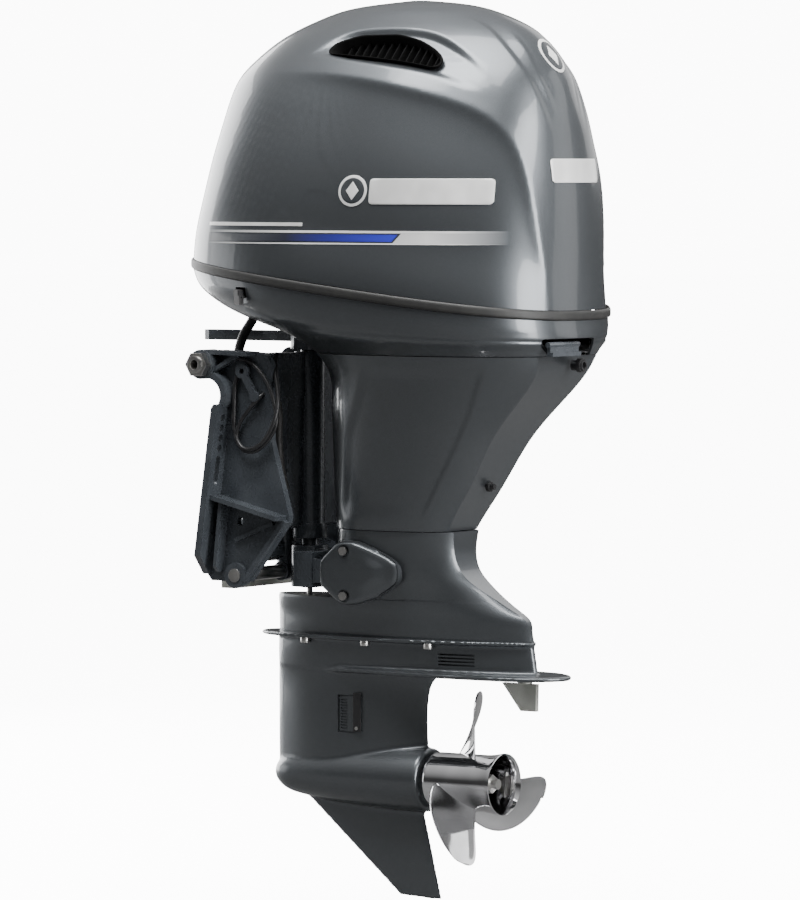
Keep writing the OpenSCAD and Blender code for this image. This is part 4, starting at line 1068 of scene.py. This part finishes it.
PALE = (0.80, 0.80, 0.79)
BAND_STOPS = [
    (-0.012, PAINT), (0.06, (0.42, 0.43, 0.43)), (0.20, PALE), (0.50, PALE), (0.54, (0.40, 0.41, 0.42)),
    (0.581, PAINT),
]
BLUE_STOPS = [
    (-0.012, PAINT), (0.05, (0.06, 0.065, 0.07)), (0.18, (0.012, 0.014, 0.025)), (0.27, (0.012, 0.014, 0.16)),
    (0.41, (0.025, 0.030, 0.42)),
]
SILVER_STOPS = [
    (0.38, (0.60, 0.60, 0.60)), (0.46, (0.74, 0.74, 0.73)), (0.535, (0.36, 0.37, 0.38)), (0.581, PAINT),
]


def rounded_rect(u0, u1, v0, v1, r):
    """Outline of a rectangle with round corners."""
    points = []
    corners = ((u1 - r, v0 + r, -90), (u1 - r, v1 - r, 0), (u0 + r, v1 - r, 90), (u0 + r, v0 + r, 180))
    for cu, cv, start in corners:
        for k in range(7):
            a = math.radians(start + 15 * k)
            points.append([cu + r * math.cos(a), cv + r * math.sin(a)])
    return resample(np.array(points + [points[0]]), 121)[:-1].tolist()


def ellipse(centre, half):
    """Outline of an ellipse round a centre."""
    return [[centre[0] + half[0] * math.cos(a), centre[1] + half[1] * math.sin(a)] for a in around_circle(72)]


def lozenge(centre, half):
    """Outline of a lozenge round a centre."""
    (u, v), (w, h) = centre, half
    corners = np.array([[u, v + h], [u + w, v], [u, v - h], [u - w, v], [u, v + h]], float)
    return resample(corners, 49)[:-1]


def build_plate(label, place, corners, centre, thick):
    """Blank silver plate laid on the cowl."""
    plate = laid_shape("blank_plate_" + label, place, rounded_rect(*corners, 6), centre, 0.2, thick, 9)
    finish_piece(plate, "cowl", "painted_grey", look=SILVER)


def build_badge(label, place, centre, outer, inner, gem, thick):
    """Silver ellipse with a dark field and a silver lozenge; the sizes are half widths and heights."""
    layers = (
        ("badge_field_", ellipse(centre, outer), 0.2, thick, 6, SILVER),
        ("badge_inner_", ellipse(centre, inner), thick + 0.1, 0.5, 6, DARK_FIELD),
        ("badge_lozenge_", lozenge(centre, gem), thick + 0.5, 0.8, 5, SILVER),
    )
    for name, outline, lift, height, rings, look in layers:
        layer = laid_shape(name + label, place, outline, centre, lift, height, rings)
        finish_piece(layer, "cowl", "painted_grey", look=look)


def build_decals(tree):
    """Plain badges and bands on the cowl; both sides alike, and a plate and a badge astern."""
    band = run_colour("band_light", BAND_STOPS)
    blue = run_colour("band_blue", BLUE_STOPS, 0.4, 0.0)
    silver = run_colour("band_silver", SILVER_STOPS)
    for side, label in SIDES.items():
        def place(x, z, side=side):
            return side_point(tree, x, z, side)

        def sheared(x, z, side=side):
            lean = 0.9 * smoothstep((x - 330) / 60) * smoothstep((470 - x) / 60)
            return side_point(tree, x + (z - 250) * lean, z, side)

        whole = np.linspace(-10, 581, 150)
        ahead, astern = np.linspace(-8, 400, 110), np.linspace(405, 581, 50)
        strips = (
            ("band_top_", place, whole, [258.5, 260.5, 262.5], 0.15, 0.5, band),
            ("band_low_", place, whole, [239.0, 240.2, 241.4], 0.15, 0.5, band),
            ("band_blue_", sheared, ahead, [244, 247, 250, 253, 256], 0.15, 0.5, blue),
            ("band_silver_", sheared, astern, [241.6, 245, 250, 255, 258.3], 0.15, 0.5, silver),
            ("dash_", place, np.linspace(-8, 213, 70), [270, 272, 274, 276], 0.2, 0.8, SILVER),
        )
        for name, where, xs, zs, lift, thick, look in strips:
            strip = laid_patch(name + label, where, xs, zs, lift, thick)
            finish_piece(strip, "cowl", "painted_grey", look=look)
        build_plate(label, place, (346, 560, 308, 352), (453, 330), 1.4)
        build_badge(label, place, (312, 331), (29, 27), (24, 22), (13, 16), 1.0)

    def behind(y, z):
        return back_point(tree, y, z)

    build_plate("rear", behind, (-72, 74, 345, 386), (1, 365.5), 1.6)
    build_badge("rear", behind, (0, 563), (27, 29), (22.5, 24), (12, 17), 1.2)


# ------------------------------------------------------------------ hoses and cables

def hose(name, points, radius, body, slot="rubber", sides=20):
    """Round flexible line through points, millimetres."""
    path = smooth_path(points, 90)
    tangent = np.gradient(path, axis=0)
    tangent /= np.linalg.norm(tangent, axis=1, keepdims=True)
    up = np.array([0.0, 0.0, 1.0]) if abs(tangent[0, 2]) < 0.9 else np.array([1.0, 0.0, 0.0])
    rings = []
    normal = np.cross(tangent[0], up)
    angles = around_circle(sides)
    for p, t in zip(path, tangent):
        normal = normal - t * (normal @ t)
        normal /= np.linalg.norm(normal)
        side = np.cross(t, normal)
        rings.append(p + radius * (np.outer(np.cos(angles), normal) + np.outer(np.sin(angles), side)))
    line = capped_solid(name, rings)
    shade_by_angle(line, 50)
    finish_piece(line, body, slot)


RIGGING_HOSE = [
    (6, -66, 150), (2, -70, 118), (-5, -72, 99), (-17, -74, 81), (-23, -78, 64), (-24, -84, 48),
    (-14, -92, 28), (6, -100, 6), (20, -104, -30),
]
TRIM_MOTOR_LEAD = [
    (66, -100, -28), (72, -100, -60), (72, -101, -100), (72, -97, -140), (69, -84, -175), (69, -74, -195),
]
TRIM_CABLE_LOOP = [
    (78, -132, -18), (72, -158, -31), (50, -160, -54), (31, -160, -77), (24, -160, -102), (35, -161, -122),
    (59, -162, -127), (89, -161, -109), (108, -160, -75), (106, -160, -50), (95, -160, -15),
    (72, -159, 15), (46, -158, 32), (20, -157, 37), (8, -150, 36),
]
MOTOR_CABLE_LOOP = [
    (26, -157, 12), (20, -159, -10), (19, -160, -39), (18, -160, -74), (25, -161, -105), (41, -165, -121),
    (67, -167, -120), (92, -166, -100), (108, -164, -68), (110, -158, -43), (102, -148, -9),
    (88, -134, 23), (76, -112, 44),
]


def build_hoses():
    """Rigging hose across the steering, the trim motor's lead, and cables over the port web."""
    across_steering = ("motor", "swivel", metres((4, -68, 128)), metres((-26, -80, 56)))
    hose("rigging_hose", RIGGING_HOSE, 8.5, across_steering)
    hose("trim_motor_lead", TRIM_MOTOR_LEAD, 7.5, "swivel")
    hose("trim_cable_loop", TRIM_CABLE_LOOP, 3.6, "clamp", slot="black_plastic", sides=14)
    hose("motor_cable_loop", MOTOR_CABLE_LOOP, 4.0, "clamp", slot="black_plastic", sides=14)


# ------------------------------------------------------------------ carried-over parts

BEVELS = {                          # width of the rounded edges, mm; the others have PLAIN_BEVEL
    "clamp_bracket_port": 2.2, "clamp_bracket_starboard": 2.2, "swivel_bracket": 2.0, "ptt_unit": 1.5,
    "steering_arm": 1.6, "lower_yoke": 2.0, "bracket_anode": 1.5, "tilt_cylinder": 1.0,
}
PLAIN_BEVEL = 0.6


def finish_frame_nodes():
    """Bevels and finishes on the CAD nodes that stay visible."""
    slots = {row["node"]: row["material_slot"] for row in frame["record"]["subparts"]}
    slots["water_inlet_covers"] = "painted_grey"
    for name, obj in frame["nodes"].items():
        if obj.hide_render:
            continue
        obj.data.materials.clear()
        obj.data.materials.append(FINISH[slots[name]])
        modifier(obj, "WELD", merge_threshold=0.00001)
        modifier(obj, "BEVEL", width=BEVELS.get(name, PLAIN_BEVEL) * MM, segments=2, limit_method="ANGLE",
                 angle_limit=math.radians(35))


# ------------------------------------------------------------------ studio

def area_light(name, place, aim, size, power):
    """Rectangular light at a place, turned to its aim."""
    data = bpy.data.lights.new(name, "AREA")
    data.shape = "RECTANGLE"
    data.size, data.size_y = size
    data.energy = power
    obj = bpy.data.objects.new(name, data)
    bpy.context.scene.collection.objects.link(obj)
    obj.location = place
    obj.rotation_mode = "QUATERNION"
    obj.rotation_quaternion = (aim - place).to_track_quat("-Z", "Y")


def seen_by_camera(owner, plain, seen):
    """Colour node that shows one tone to the camera and another to everything lit by it."""
    mix = add_node(owner, "ShaderNodeMixRGB", Color1=(*plain, 1), Color2=(*seen, 1))
    link(owner, add_node(owner, "ShaderNodeLightPath").outputs["Is Camera Ray"], mix.inputs["Fac"])
    return mix


FLOOR_Z = -950


def build_floor():
    """Pale floor under the skeg; it throws little light back up."""
    mat, shader = material("studio_floor", (0.93, 0.93, 0.93), 0.7)
    tone = seen_by_camera(mat, (0.11, 0.11, 0.11), (0.95, 0.95, 0.95))
    link(mat, tone.outputs[0], shader.inputs["Base Color"])
    glow = seen_by_camera(mat, (0, 0, 0), (1, 1, 1))
    link(mat, glow.outputs[0], shader.inputs["Emission Color"])
    put(shader, Emission_Strength=10.5)
    angles = around_circle(64)
    circle = np.column_stack([np.cos(angles), np.sin(angles), np.zeros(64)])
    rings = [circle * radius + [0, 0, FLOOR_Z] for radius in (60000, 8000, 100)]
    floor = grid_object("studio_floor", np.array(rings), cap_high=True)
    floor.data.materials.append(mat)


def build_surroundings():
    """White to the camera; to the part a dark horizon under a bright ceiling."""
    world = bpy.data.worlds.new("studio")
    bpy.context.scene.world = world
    world.use_nodes = True
    split = add_node(world, "ShaderNodeSeparateXYZ")
    link(world, add_node(world, "ShaderNodeTexCoord").outputs["Generated"], split.inputs[0])
    ceiling = colour_ramp(world, split.outputs["Z"], [(0.16, (0.08, 0.08, 0.08)), (0.90, (1.2, 1.2, 1.2))])
    mix = seen_by_camera(world, (0, 0, 0), (16, 16, 16))
    link(world, ceiling, mix.inputs["Color1"])
    back = world.node_tree.nodes["Background"]
    link(world, mix.outputs[0], back.inputs["Color"])
    put(back, Strength=0.7)


# Soft lights: azimuth from port (astern is +90), elevation, distance in metres, size in metres, watts
LIGHTS = {
    "top_soft": (10, 72, 3.4, (3.4, 2.2), 280),
    "after_strip": (84, 9, 3.6, (1.4, 3.2), 235),
    "ahead_soft": (-108, 8, 3.8, (2.6, 3.2), 200),
    "port_fill": (-8, 64, 4.2, (2.4, 1.4), 85),
    "ahead_low": (-72, -3, 4.0, (1.6, 1.6), 20),
    "astern_soft": (130, 18, 4.0, (1.6, 3.0), 30),
    "far_soft": (178, 25, 4.0, (2.6, 2.6), 35),
}


def direction(azimuth, elevation):
    """Unit vector to a place at this azimuth and elevation, in degrees."""
    a, e = math.radians(azimuth), math.radians(elevation)
    return Vector((math.sin(a) * math.cos(e), -math.cos(a) * math.cos(e), math.sin(e)))


def build_lights():
    """All the lights, aimed at the middle of the motor."""
    centre = metres((250, 0, 50))
    for name, (azimuth, elevation, distance, size, power) in LIGHTS.items():
        area_light(name, centre + direction(azimuth, elevation) * distance, centre, size, power)


def build_camera():
    """Camera at the working view: from the port side, a third of a turn aft, barely above level."""
    away = direction(33.5, 2.75)
    data = bpy.data.cameras.new("camera")
    data.sensor_fit = "VERTICAL"
    data.sensor_height = 36
    data.lens = 241.3
    camera = bpy.data.objects.new("camera", data)
    bpy.context.scene.collection.objects.link(camera)
    camera.location = metres((262, 0, -125)) + away * 10.6
    camera.rotation_mode = "QUATERNION"
    camera.rotation_quaternion = (-away).to_track_quat("-Z", "Y")
    data.clip_end = 100
    bpy.context.scene.camera = camera


# ------------------------------------------------------------------ the object

cowl_tree = build_top_cowl()
for side in SIDES:
    build_intake(side)
build_seal()
build_bottom_cowl()
build_apron()
build_upper_case()
build_mount_covers()
build_gearcase()
build_inlet_strips()
build_propeller()
build_decals(cowl_tree)
build_hoses()
finish_frame_nodes()
build_floor()
build_surroundings()
build_lights()
build_camera()
